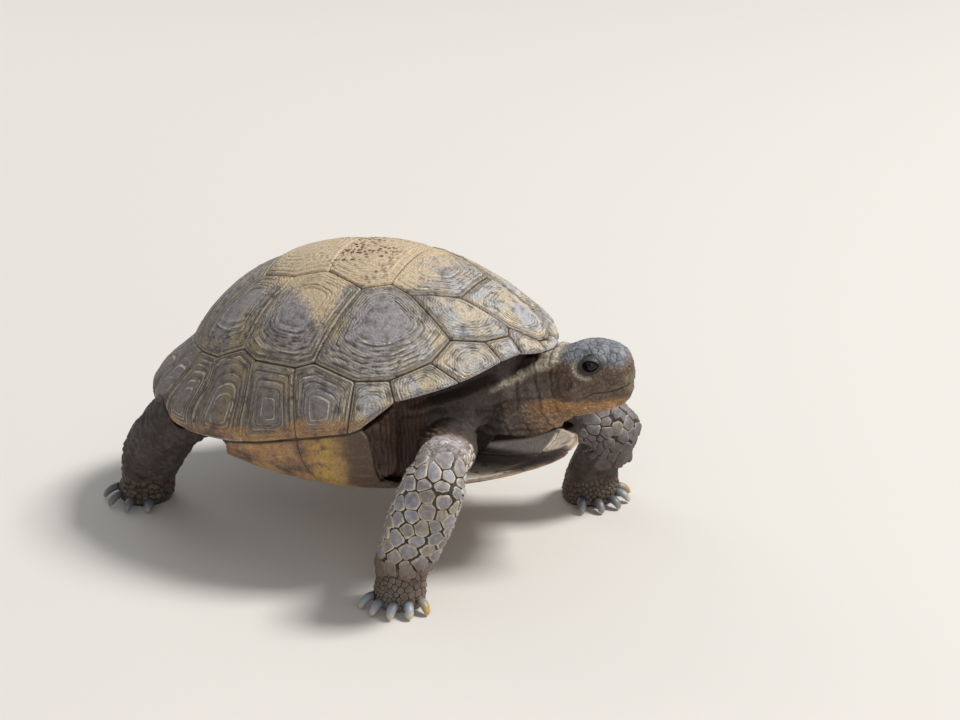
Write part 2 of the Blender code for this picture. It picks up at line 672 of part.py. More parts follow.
def head(into, skin, horn, glass, helpers):
    """The head in one loft, with sockets for the eyes and the beak parted off."""
    whole = loft("head", [head_ring(*section) for section in HEAD], into, skin)
    for side, label in ((-1, "right"), (1, "left")):
        forward, out, up = EYE_AT
        for name, radius, where in ((f"eye_{label}", EYE_RADIUS, into), ("eye_socket", EYE_RADIUS + GAP, helpers)):
            bm = bmesh.new()
            bmesh.ops.create_uvsphere(bm, u_segments=10, v_segments=7, radius=radius)
            bmesh.ops.translate(bm, verts=bm.verts, vec=place(forward, out * side, up))
            made = finish(name, bm, where, glass)
        cut(whole, made)
        bpy.data.objects.remove(made, do_unlink=True)
    slope = (MOUTH_FRONT[1] - MOUTH_CORNER[1]) / (MOUTH_FRONT[0] - MOUTH_CORNER[0])
    start = MOUTH_FRONT[1] - slope * (MOUTH_FRONT[0] - BEAK_START)
    for name, low, high in (("beak_upper", GAP / 2, BEAK_HIGH), ("beak_lower", -BEAK_DEEP, -GAP / 2)):
        piece = whole.copy()
        piece.data = whole.data.copy()
        piece.name = name
        into.objects.link(piece)
        piece.data.materials.clear()
        piece.data.materials.append(horn)
        keep(piece, block(helpers, BEAK_START, start, slope, low, high))
    cut(whole, block(helpers, BEAK_START - GAP, start - slope * GAP, slope, -BEAK_DEEP - GAP, BEAK_HIGH + GAP))


def block(helpers, forward, up, slope, low, high):
    """A wedge-sided block over the front of the mouth, between two offsets from the mouth line."""
    bm = bmesh.new()
    bmesh.ops.create_cube(bm, size=1.0)
    for vert in bm.verts:
        ahead = forward if vert.co.y > 0 else forward + BLOCK_REACH
        rise = up + slope * (ahead - forward) + (high if vert.co.z > 0 else low)
        vert.co = place(ahead, vert.co.x * BLOCK_WIDE, rise)
    made = finish("beak_block", bm, helpers, None, smooth=False)
    made.display_type = "WIRE"
    return made


def keep(thing, region):
    modifier = thing.modifiers.new("keep", "BOOLEAN")
    modifier.operation = "INTERSECT"
    modifier.solver = "EXACT"
    modifier.object = region
    settle(thing)


def main():
    clear_scene()
    parts = collection("desert_tortoise")
    helpers = collection("cutters", shown=False)
    scutes = material("scute", (0.19, 0.155, 0.115), 0.55)
    belly = material("plastron", (0.42, 0.27, 0.13), 0.55)
    skin = material("skin", (0.20, 0.165, 0.13), 0.75)
    horn = material("claw_horn", (0.42, 0.39, 0.34), 0.45)
    beak = material("beak_horn", (0.30, 0.27, 0.16), 0.45)
    glass = material("eye", (0.03, 0.035, 0.02), 0.10)
    vertebrals(parts, scutes)
    costals(parts, scutes)
    marginals(parts, scutes)
    plastron(parts, belly)
    ball("trunk", core_radius, 36, 20, parts, skin)
    keep_out = [ball("grown_core", grown_core_radius, 36, 20, helpers, None)]
    keep_out.append(ball("plates", plates_radius, 120, 90, helpers, None))
    nape = [p + Vector((0, GAP, 0)) for p in head_ring(*HEAD[0])]
    rings = limb_rings(NECK, Vector((1, 0, 0)), sides=HEAD_SIDES)
    neck = loft("neck", rings + [nape], parts, skin)
    for cutter in keep_out:
        cut(neck, cutter)
    tail = loft("tail", limb_rings(TAIL, Vector((1, 0, 0)), sides=10), parts, skin)
    for cutter in keep_out:
        cut(tail, cutter)
    head(parts, skin, beak, glass, helpers)
    legs = (
        ("foreleg_right", "forefoot_right", RIGHT_FORELEG, RIGHT_FOREFOOT),
        ("foreleg_left", "forefoot_left", LEFT_FORELEG, LEFT_FOREFOOT),
        ("hindleg_right", "hindfoot_right", RIGHT_HINDLEG, RIGHT_HINDFOOT),
        ("hindleg_left", "hindfoot_left", LEFT_HINDLEG, LEFT_HINDFOOT),
    )
    for name, foot_name, stations, shape in legs:
        leg(name, foot_name, stations, shape, keep_out, parts, skin, horn, helpers)
    for helper in helpers.objects:
        helper.hide_render = True


main()
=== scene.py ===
# A walking desert tortoise, life size: ringed shell plates, one scaly skin, horn and eyes, in metres.
import math
from itertools import product

import bmesh
import bpy
import numpy as np
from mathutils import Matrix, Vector
from mathutils.bvhtree import BVHTree
from mathutils.kdtree import KDTree


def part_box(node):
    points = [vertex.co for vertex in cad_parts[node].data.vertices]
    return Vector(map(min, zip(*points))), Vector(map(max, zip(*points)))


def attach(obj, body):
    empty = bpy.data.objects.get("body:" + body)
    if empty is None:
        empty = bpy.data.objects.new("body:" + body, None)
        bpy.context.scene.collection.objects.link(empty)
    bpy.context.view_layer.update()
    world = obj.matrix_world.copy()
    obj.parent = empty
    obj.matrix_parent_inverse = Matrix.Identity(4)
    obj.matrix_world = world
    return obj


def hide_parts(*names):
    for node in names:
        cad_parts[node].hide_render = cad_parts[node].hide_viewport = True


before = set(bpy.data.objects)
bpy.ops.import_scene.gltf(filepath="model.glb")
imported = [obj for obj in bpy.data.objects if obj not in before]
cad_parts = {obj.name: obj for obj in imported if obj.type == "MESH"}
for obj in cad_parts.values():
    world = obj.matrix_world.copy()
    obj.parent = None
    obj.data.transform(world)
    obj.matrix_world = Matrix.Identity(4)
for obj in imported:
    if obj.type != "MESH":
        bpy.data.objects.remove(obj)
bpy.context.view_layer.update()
cadNodes = sorted(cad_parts)


# small helpers shared by all pieces

def linear(hexColour):
    # sRGB hex to linear RGBA
    parts = [int(hexColour[i:i + 2], 16) / 255 for i in (1, 3, 5)]
    return [p / 12.92 if p <= 0.04045 else ((p + 0.055) / 1.055) ** 2.4 for p in parts] + [1.0]


def setInputs(tree, node, values):
    # a socket is joined to the input, anything else is typed in
    for key, value in values.items():
        if isinstance(value, bpy.types.NodeSocket):
            tree.links.new(value, node.inputs[key])
        else:
            node.inputs[key].default_value = linear(value) if isinstance(value, str) else value


def addNode(tree, kind, settings=None, links=None, out=0):
    # settings are the node's own options, links are its inputs; gives back one of its outputs
    node = tree.nodes.new("ShaderNode" + kind)
    for key, value in (settings or {}).items():
        if key == "stops":
            ramp = node.color_ramp.elements
            while len(ramp) < len(value):
                ramp.new(0.5)
            for stop, (at, colour) in zip(ramp, value):
                stop.position = at
                stop.color = linear(colour)
        else:
            setattr(node, key, value)
    setInputs(tree, node, links or {})
    return node.outputs[out]


def startMaterial(name, masks=(), noises=()):
    # a material with its place on the object and what it reads: masks, and noises with a size in metres
    # and a detail
    made = bpy.data.materials.new(name)
    made.use_nodes = True
    tree = made.node_tree
    where = addNode(tree, "TexCoord", out="Object")
    value = {mask: addNode(tree, "Attribute", {"attribute_name": mask}, out="Fac") for mask in masks}
    for noise, size, detail in noises:
        value[noise] = addNode(tree, "TexNoise", None, {"Vector": where, "Scale": 1 / size, "Detail": detail})
    return made, tree, where, value


multiply, multiplyAdd = {"operation": "MULTIPLY"}, {"operation": "MULTIPLY_ADD"}
smoothed, darkened = {"interpolation_type": "SMOOTHSTEP"}, {"blend_type": "MULTIPLY"}


def addRun(tree, read, steps):
    # a run of nodes that read one another: a name, a kind, settings, then inputs in the order of its sockets
    for key, kind, settings, *inputs in steps:
        inputs = {i: read.get(value, value) for i, value in enumerate(inputs)}
        read[key] = addNode(tree, kind, settings, inputs)


def paintOver(tree, read, colour, layers):
    # each layer is one mask or more, which are multiplied, then a paint and its strength
    for *masks, paint, strength in layers:
        share = read[masks[0]]
        for mask in masks[1:]:
            share = addNode(tree, "Math", multiply, {0: share, 1: read[mask]})
        share = addNode(tree, "Math", {**multiply, "use_clamp": True}, {0: share, 1: strength})
        colour = addNode(tree, "MixRGB", None, {0: share, 1: colour, 2: paint})
    return colour


def finishMaterial(made, values, height=None, strength=0.0, depth=0.0):
    # height is the fine relief that is too small for the mesh, its depth in metres
    tree = made.node_tree
    if height is not None:
        values = {**values, "Normal": addNode(tree, "Bump", None, {
            "Height": height, "Strength": strength, "Distance": depth})}
    setInputs(tree, tree.nodes["Principled BSDF"], values)
    return made


def hashed(cells, seed):
    # one steady pseudo-random number in 0..1 for each whole-number cell
    c = cells.astype(np.int64)
    n = c[..., 0] * 73856093 ^ c[..., 1] * 19349663 ^ c[..., 2] * 83492791 ^ (seed * 2654435761)
    n = (n ^ (n >> 13)) * 1274126177 & 0xFFFFFFFF
    n = (n ^ (n >> 16)) * 2246822519 & 0xFFFFFFFF
    return ((n ^ (n >> 15)) & 0xFFFFFF) / float(0xFFFFFF)


def softNoise(points, size, seed=1, octaves=2):
    # smooth noise in about -1..1 with lumps of the given size in metres
    total, strength, weight = 0.0, 1.0, 0.0
    for octave in range(octaves):
        p = points / size * 2 ** octave + 17.3 * octave
        cell = np.floor(p)
        f = p - cell
        f = f * f * (3 - 2 * f)
        value = 0.0
        for corner in range(8):
            step = np.array([corner & 1, corner >> 1 & 1, corner >> 2])
            share = np.prod(np.where(step, f, 1 - f), axis=-1)
            value = value + share * hashed(cell + step, seed + octave)
        total = total + strength * (value * 2 - 1)
        weight += strength
        strength *= 0.5
    return total / weight * 1.6


def nearestCells(points, size, seed=1):
    # distance to the nearest and second nearest of the scattered cell centres, and the nearest one's number
    p = points / size
    base = np.floor(p)
    first = np.full(len(p), 9.0)
    second = np.full(len(p), 9.0)
    number = np.zeros(len(p))
    for i in range(27):
        cell = base + np.array([i % 3 - 1, i // 3 % 3 - 1, i // 9 - 1])
        centre = cell + np.stack([hashed(cell, seed + k) for k in range(3)], -1)
        away = np.linalg.norm(p - centre, axis=1)
        closer = away < first
        second = np.where(closer, first, np.minimum(second, away))
        number = np.where(closer, hashed(cell, seed + 7), number)
        first = np.where(closer, away, first)
    return first, second, number


def smoothStep(low, high, x):
    t = np.clip((x - low) / (high - low), 0.0, 1.0)
    return t * t * (3 - 2 * t)


def unit(v):
    return v / np.maximum(np.linalg.norm(v, axis=-1, keepdims=True), 1e-12)


def lineAt(line, at):
    # the height of a line of (place, height) corners at some places
    return np.interp(at, *zip(*line))


def ringFaces(index, flip=False):
    # quads between rows of points that run round
    after = np.roll(index, -1, axis=1)
    corners = (index[:-1], index[1:], after[1:], after[:-1])
    if flip:
        corners = corners[:1] + corners[:0:-1]
    return np.stack(corners, -1).reshape(-1, 4)


def addObject(name, data):
    made = bpy.data.objects.new(name, data)
    bpy.context.scene.collection.objects.link(made)
    return made


def addMasks(mesh, masks):
    # numbers per point that the materials read
    for key, values in masks.items():
        layer = mesh.attributes.new(key, "FLOAT", "POINT")
        layer.data.foreach_set("value", np.asarray(values, np.float32))


def makePiece(name, points, faces, material, masks):
    # one mesh piece that rides on the part
    mesh = bpy.data.meshes.new(name)
    mesh.from_pydata(points.tolist(), [], faces)
    mesh.materials.append(material)
    addMasks(mesh, masks)
    mesh.shade_smooth()
    piece = addObject(name, mesh)
    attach(piece, "root")
    return piece


# the shell's form: a dome over a shallow belly, flared at its front and rear rims

shell = {
    "front": 0.127, "rear": 0.144, "halfWidth": 0.100, "top": 0.095, "bottom": 0.038,
    "centreUp": 0.087, "noseUp": math.radians(2.7),
    "planPower": 1.87, "topPower": 1.81, "bottomPower": 2.9,
    "frontTaper": -0.044, "frontDrop": -0.107,
    "brimFront": 0.006, "brimRear": 0.022, "brimSpread": 0.14,
}
eyeForward = 0.1315  # the eyes stand this far ahead of the shell's centre
eyeLow, eyeHigh = (np.array(corner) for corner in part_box("eye_right"))
middleX = (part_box("costal_left_2")[1][0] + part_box("costal_right_2")[0][0]) / 2
middleY = (eyeLow[1] + eyeHigh[1]) / 2 + eyeForward


def place(p):
    # from the animal's own forward, left, up to the scene
    p = np.asarray(p, float)
    return np.stack([p[..., 1] + middleX, middleY - p[..., 0], p[..., 2]], -1)


def unplace(q):
    return np.stack([middleY - q[..., 1], q[..., 0] - middleX, q[..., 2]], -1)


def direction(azimuth, elevation):
    # azimuth from the nose towards the right, in degrees
    a, e = np.radians(azimuth), np.radians(elevation)
    return np.stack([np.cos(e) * np.cos(a), -np.cos(e) * np.sin(a), np.sin(e)], -1)


def angles(d):
    # azimuth, as above, and elevation of directions, in degrees
    return np.degrees(np.arctan2(-d[..., 1], d[..., 0])), np.degrees(np.arcsin(np.clip(d[..., 2], -1, 1)))


def domeRadius(d):
    flat = np.maximum(np.hypot(d[..., 0], d[..., 1]), 1e-9)
    length = np.where(d[..., 0] > 0, shell["front"], shell["rear"])
    width = shell["halfWidth"] * (1 + shell["frontTaper"] * d[..., 0] / flat)
    power = shell["planPower"]
    plan = ((np.abs(d[..., 0]) / length) ** power + (np.abs(d[..., 1]) / width) ** power) ** (1 / power)
    up = d[..., 2] > 0
    high = np.where(up, shell["top"] * (1 + shell["frontDrop"] * d[..., 0]), shell["bottom"])
    power = np.where(up, shell["topPower"], shell["bottomPower"])
    return (plan ** power + (np.abs(d[..., 2]) / high) ** power) ** (-1 / power)


def shellRadius(d):
    flat = np.maximum(np.hypot(d[..., 0], d[..., 1]), 1e-9)
    ahead = d[..., 0] / flat
    brim = np.where(ahead > 0, shell["brimFront"], shell["brimRear"])
    rise = np.arctan2(d[..., 2], flat) / shell["brimSpread"]
    return domeRadius(d) + brim * ahead ** 2 * np.exp(-(rise ** 2))


def raiseNose(p):
    # from the shell's own axes to the animal's: the shell stands nose up
    c, s = math.cos(shell["noseUp"]), math.sin(shell["noseUp"])
    up = p[..., 0] * s + p[..., 2] * c + shell["centreUp"]
    return np.stack([p[..., 0] * c - p[..., 2] * s, p[..., 1], up], -1)


def onShell(d, depth=0.0):
    # a scene point on the shell in direction d, so far under its outer face
    return place(raiseNose(d * (shellRadius(d) - depth)[..., None]))


def fromShell(q):
    # back from a scene point to its direction and its distance from the shell's centre
    p = unplace(q) - np.array([0, 0, shell["centreUp"]])
    c, s = math.cos(shell["noseUp"]), math.sin(shell["noseUp"])
    p = np.stack([p[..., 0] * c + p[..., 2] * s, p[..., 1], -p[..., 0] * s + p[..., 2] * c], -1)
    far = np.linalg.norm(p, axis=-1)
    return p / np.maximum(far, 1e-9)[..., None], far


def planDirection(forward, side, below=False):
    # the direction in which the dome, or the belly, stands over a point of the plan
    azimuth = math.degrees(math.atan2(side, forward))
    low, high = (-4.0, -90.0) if below else (15.0, 90.0)
    for _ in range(40):
        middle = (low + high) / 2
        d = direction(azimuth, middle)
        if shellRadius(d) * math.hypot(d[0], d[1]) > math.hypot(forward, side):
            low = middle
        else:
            high = middle
    return direction(azimuth, low)


# where the rim and the belly's edge run: azimuth, elevation in degrees
rimLine = ((0, 21), (8, 22.5), (16, 25), (24, 24.8), (41, 21.8), (65, 18), (74, 11.5), (77, 9),
           (82, 7), (100, 3.5), (115, 0), (127, -2), (140, -3), (160, -2.5), (180, -2))
lobeLine = ((0, -12.5), (5, -11), (12, -11.5), (19, -14), (40, -15), (60, -16), (69, -15.5), (72.5, -13),
            (73.5, -8), (74.5, 0), (75.5, 7), (77, 9), (82, 7), (100, 3.5), (115, 0), (127, -2), (131, -9),
            (137, -17), (150, -20), (180, -22))
marginalSeams = (  # azimuth and elevation at the top, azimuth at the rim
    (4.5, 25.5, 5.0), (14.5, 31.5, 15.0), (25.5, 32.8, 23.5), (49.6, 30.3, 41.0),
    (66.8, 25.5, 65.0), (80.4, 25.2, 82.0), (106.6, 26.8, 101.0), (125.5, 24.4, 120.0),
    (144.0, 18.5, 137.0), (154.0, 16.0, 150.0), (163.0, 14.5, 161.0), (172.0, 12.8, 171.0),
)
costalLow = ((12.0, 34.0), (38.7, 37.0), (99.0, 30.0), (133.0, 25.8), (157.0, 15.5))  # seams between costals


def rimDirection(azimuth):
    return direction(azimuth, lineAt(rimLine, abs(azimuth)))


def borderRun(first, last):
    # corners of the marginals' upper border between two azimuths
    every = sorted(set(costalLow) | {(top, up) for top, up, _ in marginalSeams})
    return [direction(*corner) for corner in every if first <= corner[0] <= last]


def mirror(d):
    return d * np.array([1.0, -1.0, 1.0])


# how high over the rim the stained band reaches: azimuth, degrees
stainedBand = ((60, 0.0), (74, 2.5), (84, 6.5), (125, 6.5), (140, 3.5), (180, 2.5))
plate = {
    "thick": 0.0050,
    "step": 0.00085,      # between points of the mesh
    "seam": 0.00042,      # half the gap between two plates
    "sunk": 0.0004,       # of the borders under the shell's outer face
    "edge": 0.0011,       # radius of a border
    "rimEdge": 0.0021,    # radius of a free rim
    "edgeRows": (1.0, 0.72, 0.46, 0.26, 0.12, 0.04, 0.0),  # over the rounded border, as shares of its radius
    "backRows": (1.0, 0.92, 0.65, 0.35),                   # over the flat back
}
growth = {                # of the rings in a plate
    "spread": (0.55, 1.45), "strength": (0.45, 1.0), "last": 0.5,  # how unlike they are
    "wander": 0.026,      # of a ring's run, as a share of the plate
    "crestAt": 0.72, "grooveWide": 0.10, "grooveDeep": 0.55,       # as shares of one ring
    "grain": 0.00010,
}
plateKinds = {            # how many rings, their height, the areola's share of the plate, the bulge
    "vertebral": (7, 0.0007, 0.36, 0.0012),
    "costal": (8, 0.00095, 0.40, 0.0016),
    "marginal": (6, 0.0008, 0.22, 0.0006),
    "rimEnd": (6, 0.0003, 0.3, 0.0005),
    "belly": (7, 0.00022, 0.25, 0.0003),
}


def drawPlate(kind, name, corners, areola, seed, rim=()):
    # A horn plate that grew in rings round its areola: rim lists the sides, counted from its first corner,
    # that are a free edge. Returns its name, points, faces and masks.
    rings, ringHigh, areolaShare, dome = plateKinds[kind]
    rng = np.random.default_rng(seed)
    corners = [unit(np.asarray(c)) for c in corners]
    border, free = [], []
    for i, first in enumerate(corners):
        last = corners[(i + 1) % len(corners)]
        span = np.linalg.norm(first - last) * float(shellRadius(unit(first + last)))
        count = max(3, round(span / plate["step"]))
        t = (np.arange(count) / count)[:, None]
        border.append(unit(first * (1 - t) + last * t))
        free.append(np.full(count, float(i in rim)))
    border, free = np.concatenate(border), np.concatenate(free)
    around = len(border)
    turn = np.minimum(np.arange(around), around - np.arange(around))

    def rounded(values, reach):
        kernel = np.exp(-((turn / reach) ** 2))
        kernel = np.fft.rfft(kernel / kernel.sum()).reshape(-1, *[1] * (values.ndim - 1))
        return np.fft.irfft(np.fft.rfft(values, axis=0) * kernel, around, axis=0)

    sharp = unit(rounded(border, 1.6))
    soft = unit(rounded(border, around * 0.045))
    free = rounded(free, 3.0)
    middle = areola if areola is not None else unit(border.mean(0))
    flat = np.linalg.norm(sharp * shellRadius(sharp)[:, None] - middle * shellRadius(middle), axis=1)
    sharp = unit(sharp + (middle - sharp) * (plate["seam"] * (1 - free) / flat)[:, None])
    # rows out from the areola, closer together over the rounded border
    edge = np.minimum(plate["edge"] + (plate["rimEdge"] - plate["edge"]) * free, flat * 0.6)
    rows = max(8, round(flat.mean() / plate["step"]))
    inner = (np.arange(1, rows) / rows)[:, None] * (1 - edge / flat)
    share = np.concatenate([inner, 1 - np.array(plate["edgeRows"])[:, None] * edge / flat])
    blend = smoothStep(0.35, 0.95, share)[..., None]
    d = unit(middle * (1 - share[..., None]) + (soft * (1 - blend) + sharp * blend) * share[..., None])
    world = onShell(d)
    # growth rings
    widths = rng.uniform(*growth["spread"], rings)
    edges = areolaShare + (1 - areolaShare) * np.concatenate([[0], np.cumsum(widths)]) / widths.sum()
    wander = growth["wander"] * softNoise(world, 0.011, 3)
    wander = wander * smoothStep(0.05, 0.5, share) * smoothStep(1.0, 0.9, share)
    grown = np.interp(share + wander, edges, np.arange(rings + 1))
    number = np.floor(grown).astype(int)
    phase = grown - number
    strength = np.append(rng.uniform(*growth["strength"], rings), growth["last"])[number]
    strength = strength * np.clip(0.80 + 0.45 * softNoise(world, 0.016, 5), 0, 1)
    crestAt = growth["crestAt"]
    crest = np.where(phase < crestAt, (phase / crestAt) ** 1.6, (1 - phase) / (1 - crestAt))
    crest = crest * (share > areolaShare)
    groove = np.exp(-((np.minimum(phase, 1 - phase) / growth["grooveWide"]) ** 2))
    groove = groove * (share > areolaShare * 0.98)
    rough = softNoise(world, 0.0022, 8) * 0.5 + softNoise(world, 0.006, 9)
    away = np.maximum((1 - share) * flat, 0.0)
    drop = np.where(away < edge, edge - np.sqrt(np.maximum(edge ** 2 - (edge - away) ** 2, 0)), 0)
    fade = smoothStep(0.0, 0.002, away)
    high = crest * strength * ringHigh * fade - groove * ringHigh * growth["grooveDeep"] * fade
    high = high + rough * growth["grain"]
    high = high + dome * (1 - share ** 2.6) - plate["sunk"] - drop
    outer = onShell(d, -high)
    hub = onShell(middle[None], -(dome - plate["sunk"] + ringHigh * 0.2))
    # the walls and the flat back
    lip, back = (unit(sharp + (middle - sharp) * (k * edge * free / flat)[:, None]) for k in (0.35, 0.9))
    deep = plate["sunk"] + edge
    wall = [onShell(lip, deep + (plate["thick"] - deep) * 0.55)]
    wall += [onShell(unit(back * t + middle * (1 - t)), plate["thick"]) for t in plate["backRows"]]
    backHub = onShell(middle[None], plate["thick"])
    points = np.concatenate([hub, outer.reshape(-1, 3), *wall, backHub])
    rowsAll = len(share) + len(wall)
    index = 1 + np.arange(rowsAll * around).reshape(rowsAll, around)
    after = np.roll(index, -1, axis=1)
    faces = ringFaces(index).tolist()
    faces += [[0, a, b] for a, b in zip(index[0].tolist(), after[0].tolist())]
    faces += [[len(points) - 1, b, a] for a, b in zip(index[-1].tolist(), after[-1].tolist())]
    winding = np.einsum("ij,j->", np.cross(border, np.roll(border, -1, axis=0)), middle)
    if winding < 0:
        faces = [corners[::-1] for corners in faces]

    def spread(values, hubValue=0.0, wallValue=0.0):
        return np.concatenate([[hubValue], values.ravel(), np.full(len(wall) * around + 1, wallValue)])

    masks = {
        "crest": spread(np.exp(-(((phase - 0.70) / 0.13) ** 2)) * strength * (share > areolaShare)),
        "groove": spread(groove),
        "share": spread(share, 0.0, 1.0),
        "away": spread(away * 1000, 30.0),      # millimetres in from the border
        "free": spread(np.broadcast_to(free, share.shape)),
        "out": spread(share * flat * 1000),     # millimetres out from the areola
        "inside": spread(np.zeros(share.shape), 0.0, 1.0),
    }
    masks["free"][-len(wall) * around - 1:-1] = np.tile(free, len(wall))
    return name, points, faces, masks


def addDustAndPaintedLight(points, masks):
    # where loose soil has settled: the crown of the shell, thinning out in streaks
    d, _ = fromShell(points)
    forward, up = d[:, 0], d[:, 2]
    crown = smoothStep(0.84, 0.94, up) * smoothStep(0.62, 0.25, forward)
    behind = smoothStep(0.58, 0.84, up) * smoothStep(0.02, -0.22, forward) * smoothStep(-0.85, -0.55, forward)
    crown = np.maximum(crown, behind)
    streaks = softNoise(points, 0.020, 21, 3)
    masks["dust"] = np.clip(crown * 1.05 + 0.42 * streaks * smoothStep(0.0, 0.4, crown), 0, 1)
    masks["specks"] = smoothStep(0.88, 0.95, up) * smoothStep(0.25, -0.05, forward)
    # a stained band above the rim, painted sunlight in front and painted shade, browner, low behind
    azimuth, elevation = angles(d)
    azimuth = np.abs(azimuth)
    over = elevation - lineAt(rimLine, azimuth)
    reach = lineAt(stainedBand, azimuth)
    stain = over / np.maximum(reach, 0.1) + 0.45 * softNoise(points, 0.010, 23, 3)
    masks["low"] = 0.95 * smoothStep(1.5, 0.4, stain) * (reach > 0.5)
    shoulder = smoothStep(0.62, 0.36, up) * smoothStep(-0.05, 0.35, forward)
    # painted sunlight on the shoulders and the front of the dome
    masks["sunned"] = np.maximum(shoulder, 0.75 * smoothStep(0.30, 0.62, forward))
    # painted shade, in a browner tone, low on the rear of the dome
    masks["brown"] = smoothStep(0.52, 0.20, up) * smoothStep(0.15, -0.15, forward)


# the plates themselves, from seams in the dome's plan: forward and aside, in metres

vertebralJoints = ((0.055, 0.020), (0.016, 0.034), (-0.026, 0.033), (-0.074, 0.026))
vertebralSides = ((0.030, 0.036), (0.001, 0.043), (-0.048, 0.036))


def vertebralPlates():
    joint = [planDirection(*p) for p in vertebralJoints]
    side = [planDirection(*p) for p in vertebralSides]
    halves = [
        [direction(0, 24.5), *borderRun(4.5, 12.0), joint[0]],
        [joint[0], side[0], joint[1]],
        [joint[1], side[1], joint[2]],
        [joint[2], side[2], joint[3]],
        [joint[3], *borderRun(157.0, 172.0), direction(180, 12.5)],
    ]
    for number, right in enumerate(halves, 1):
        left = [mirror(d) for d in reversed(right) if abs(d[1]) > 1e-6]
        corners = right + left
        centre = unit(np.mean(corners, axis=0) + np.array([-0.05, 0, 0]))
        yield drawPlate("vertebral", f"vertebral_{number}", corners, centre, 100 + number)


def costalPlates():
    joint = [planDirection(*p) for p in vertebralJoints]
    side = [planDirection(*p) for p in vertebralSides]
    rows = [
        [joint[0], *borderRun(12.0, 38.7), side[0]],
        [joint[1], side[0], *borderRun(38.7, 99.0), side[1]],
        [joint[2], side[1], *borderRun(99.0, 133.0), side[2]],
        [joint[3], side[2], *borderRun(133.0, 157.0)],
    ]
    lift = (0.30, 0.36, 0.32, 0.30)  # how far the areola sits from the plate's middle towards its top
    for number, right in enumerate(rows, 1):
        for label in ("right", "left"):
            corners = right if label == "right" else [mirror(d) for d in reversed(right)]
            middle = unit(np.mean(corners, axis=0))
            top = unit(np.mean(corners, axis=0) + np.array([0, 0, 0.9]))
            centre = unit(middle * (1 - lift[number - 1]) + top * lift[number - 1])
            seed = 200 + number + 10 * (label == "left")
            yield drawPlate("costal", f"costal_{label}_{number}", corners, centre, seed)


def rimPlates():
    for label in ("right", "left"):
        for i, (first, last) in enumerate(zip(marginalSeams, marginalSeams[1:])):
            top = borderRun(first[0], last[0])
            count = max(3, round((last[2] - first[2]) / 4))
            low = [rimDirection(last[2] + (first[2] - last[2]) * k / count) for k in range(count + 1)]
            corners = top + low
            start = len(top)
            freeRim = i < 5 or i > 6
            sides = tuple(range(start, start + count)) if freeRim else ()
            sink = 0.70 if freeRim else 0.62
            centre = unit(np.mean(top, axis=0) * (1 - sink) + np.mean(low, axis=0) * sink)
            if label == "left":
                corners, centre = [mirror(d) for d in corners], mirror(centre)
            seed = 300 + i + 20 * (label == "left")
            yield drawPlate("marginal", f"marginal_{label}_{i + 1}", corners, centre, seed, sides)
    ends = (("nuchal", 0, 24.5, marginalSeams[0]), ("supracaudal", 180, 12.5, marginalSeams[-1]))
    for name, azimuth, up, seam in ends:
        half = [rimDirection(seam[2] + (azimuth - seam[2]) * k / 3) for k in range(4)]
        low = half + [mirror(d) for d in reversed(half[:-1])]
        side = direction(*seam[:2])
        corners = [direction(azimuth, up), side] + low + [mirror(side)]
        centre = unit(direction(azimuth, up) * 0.45 + half[-1] * 0.55)
        yield drawPlate("rimEnd", name, corners, centre, 360 + azimuth, range(2, 8))


bellySeams = (0.098, 0.045, 0.028, -0.055, -0.092)  # across the belly, from the gulars back
lobeInset = 0.3                                     # degrees


def lobeAzimuth(forward):
    # where the belly's edge crosses a plane across the shell
    azimuths = np.linspace(0, 180, 721)
    d = direction(azimuths, lineAt(lobeLine, azimuths) - lobeInset)
    ahead = d[:, 0] * shellRadius(d)
    return float(azimuths[np.argmin(np.abs(ahead - forward))])


def lobeRun(first, last):
    # the belly's edge between two azimuths, with the corners that it turns at
    inner = [azimuth for azimuth, _ in lobeLine if min(first, last) + 0.4 < azimuth < max(first, last) - 0.4]
    every = sorted([first, last] + inner, reverse=first > last)
    return [direction(a, lineAt(lobeLine, a) - lobeInset) for a in every]


def bellyPlates():
    gular, humeral, pectoral, abdominal, femoral = bellySeams
    edge = {seam: lobeAzimuth(seam) for seam in (gular, humeral, femoral)}
    bridgeStart, bridgeMiddle, bridgeEnd = 71.0, 101.0, 128.5  # azimuths
    middle = {seam: planDirection(seam, 1e-4, True) for seam in bellySeams}
    armpit, waist = planDirection(humeral, 0.055, True), planDirection(-0.004, 0.070, True)
    half = {
        "gular": [direction(0.3, -12.2), *lobeRun(3, edge[gular]), middle[gular]],
        "humeral": [middle[gular], *lobeRun(edge[gular], bridgeStart), armpit, middle[humeral]],
        "pectoral": [middle[humeral], armpit, *lobeRun(bridgeStart + 1, bridgeMiddle), waist,
                     middle[pectoral]],
        "abdominal": [middle[pectoral], waist, *lobeRun(bridgeMiddle, bridgeEnd), middle[abdominal]],
        "femoral": [middle[abdominal], *lobeRun(bridgeEnd + 1, edge[femoral]), middle[femoral]],
        "anal": [middle[femoral], *lobeRun(edge[femoral], 172.0), planDirection(-0.112, 1e-4, True)],
    }
    for number, (name, right) in enumerate(half.items()):
        free = {"gular": range(5), "pectoral": (), "abdominal": ()}.get(name, range(1, 9))
        for label in ("right", "left"):
            corners = right if label == "right" else [mirror(d) for d in right]
            sides = tuple(k for k in free if k < len(corners) - 2)
            seed = 500 + number + 20 * (label == "left")
            yield drawPlate("belly", f"{name}_{label}", corners, None, seed, sides)


bone = {"under": 0.0017, "rows": 34, "domeDeep": 0.0062, "bellyDeep": 0.0044}


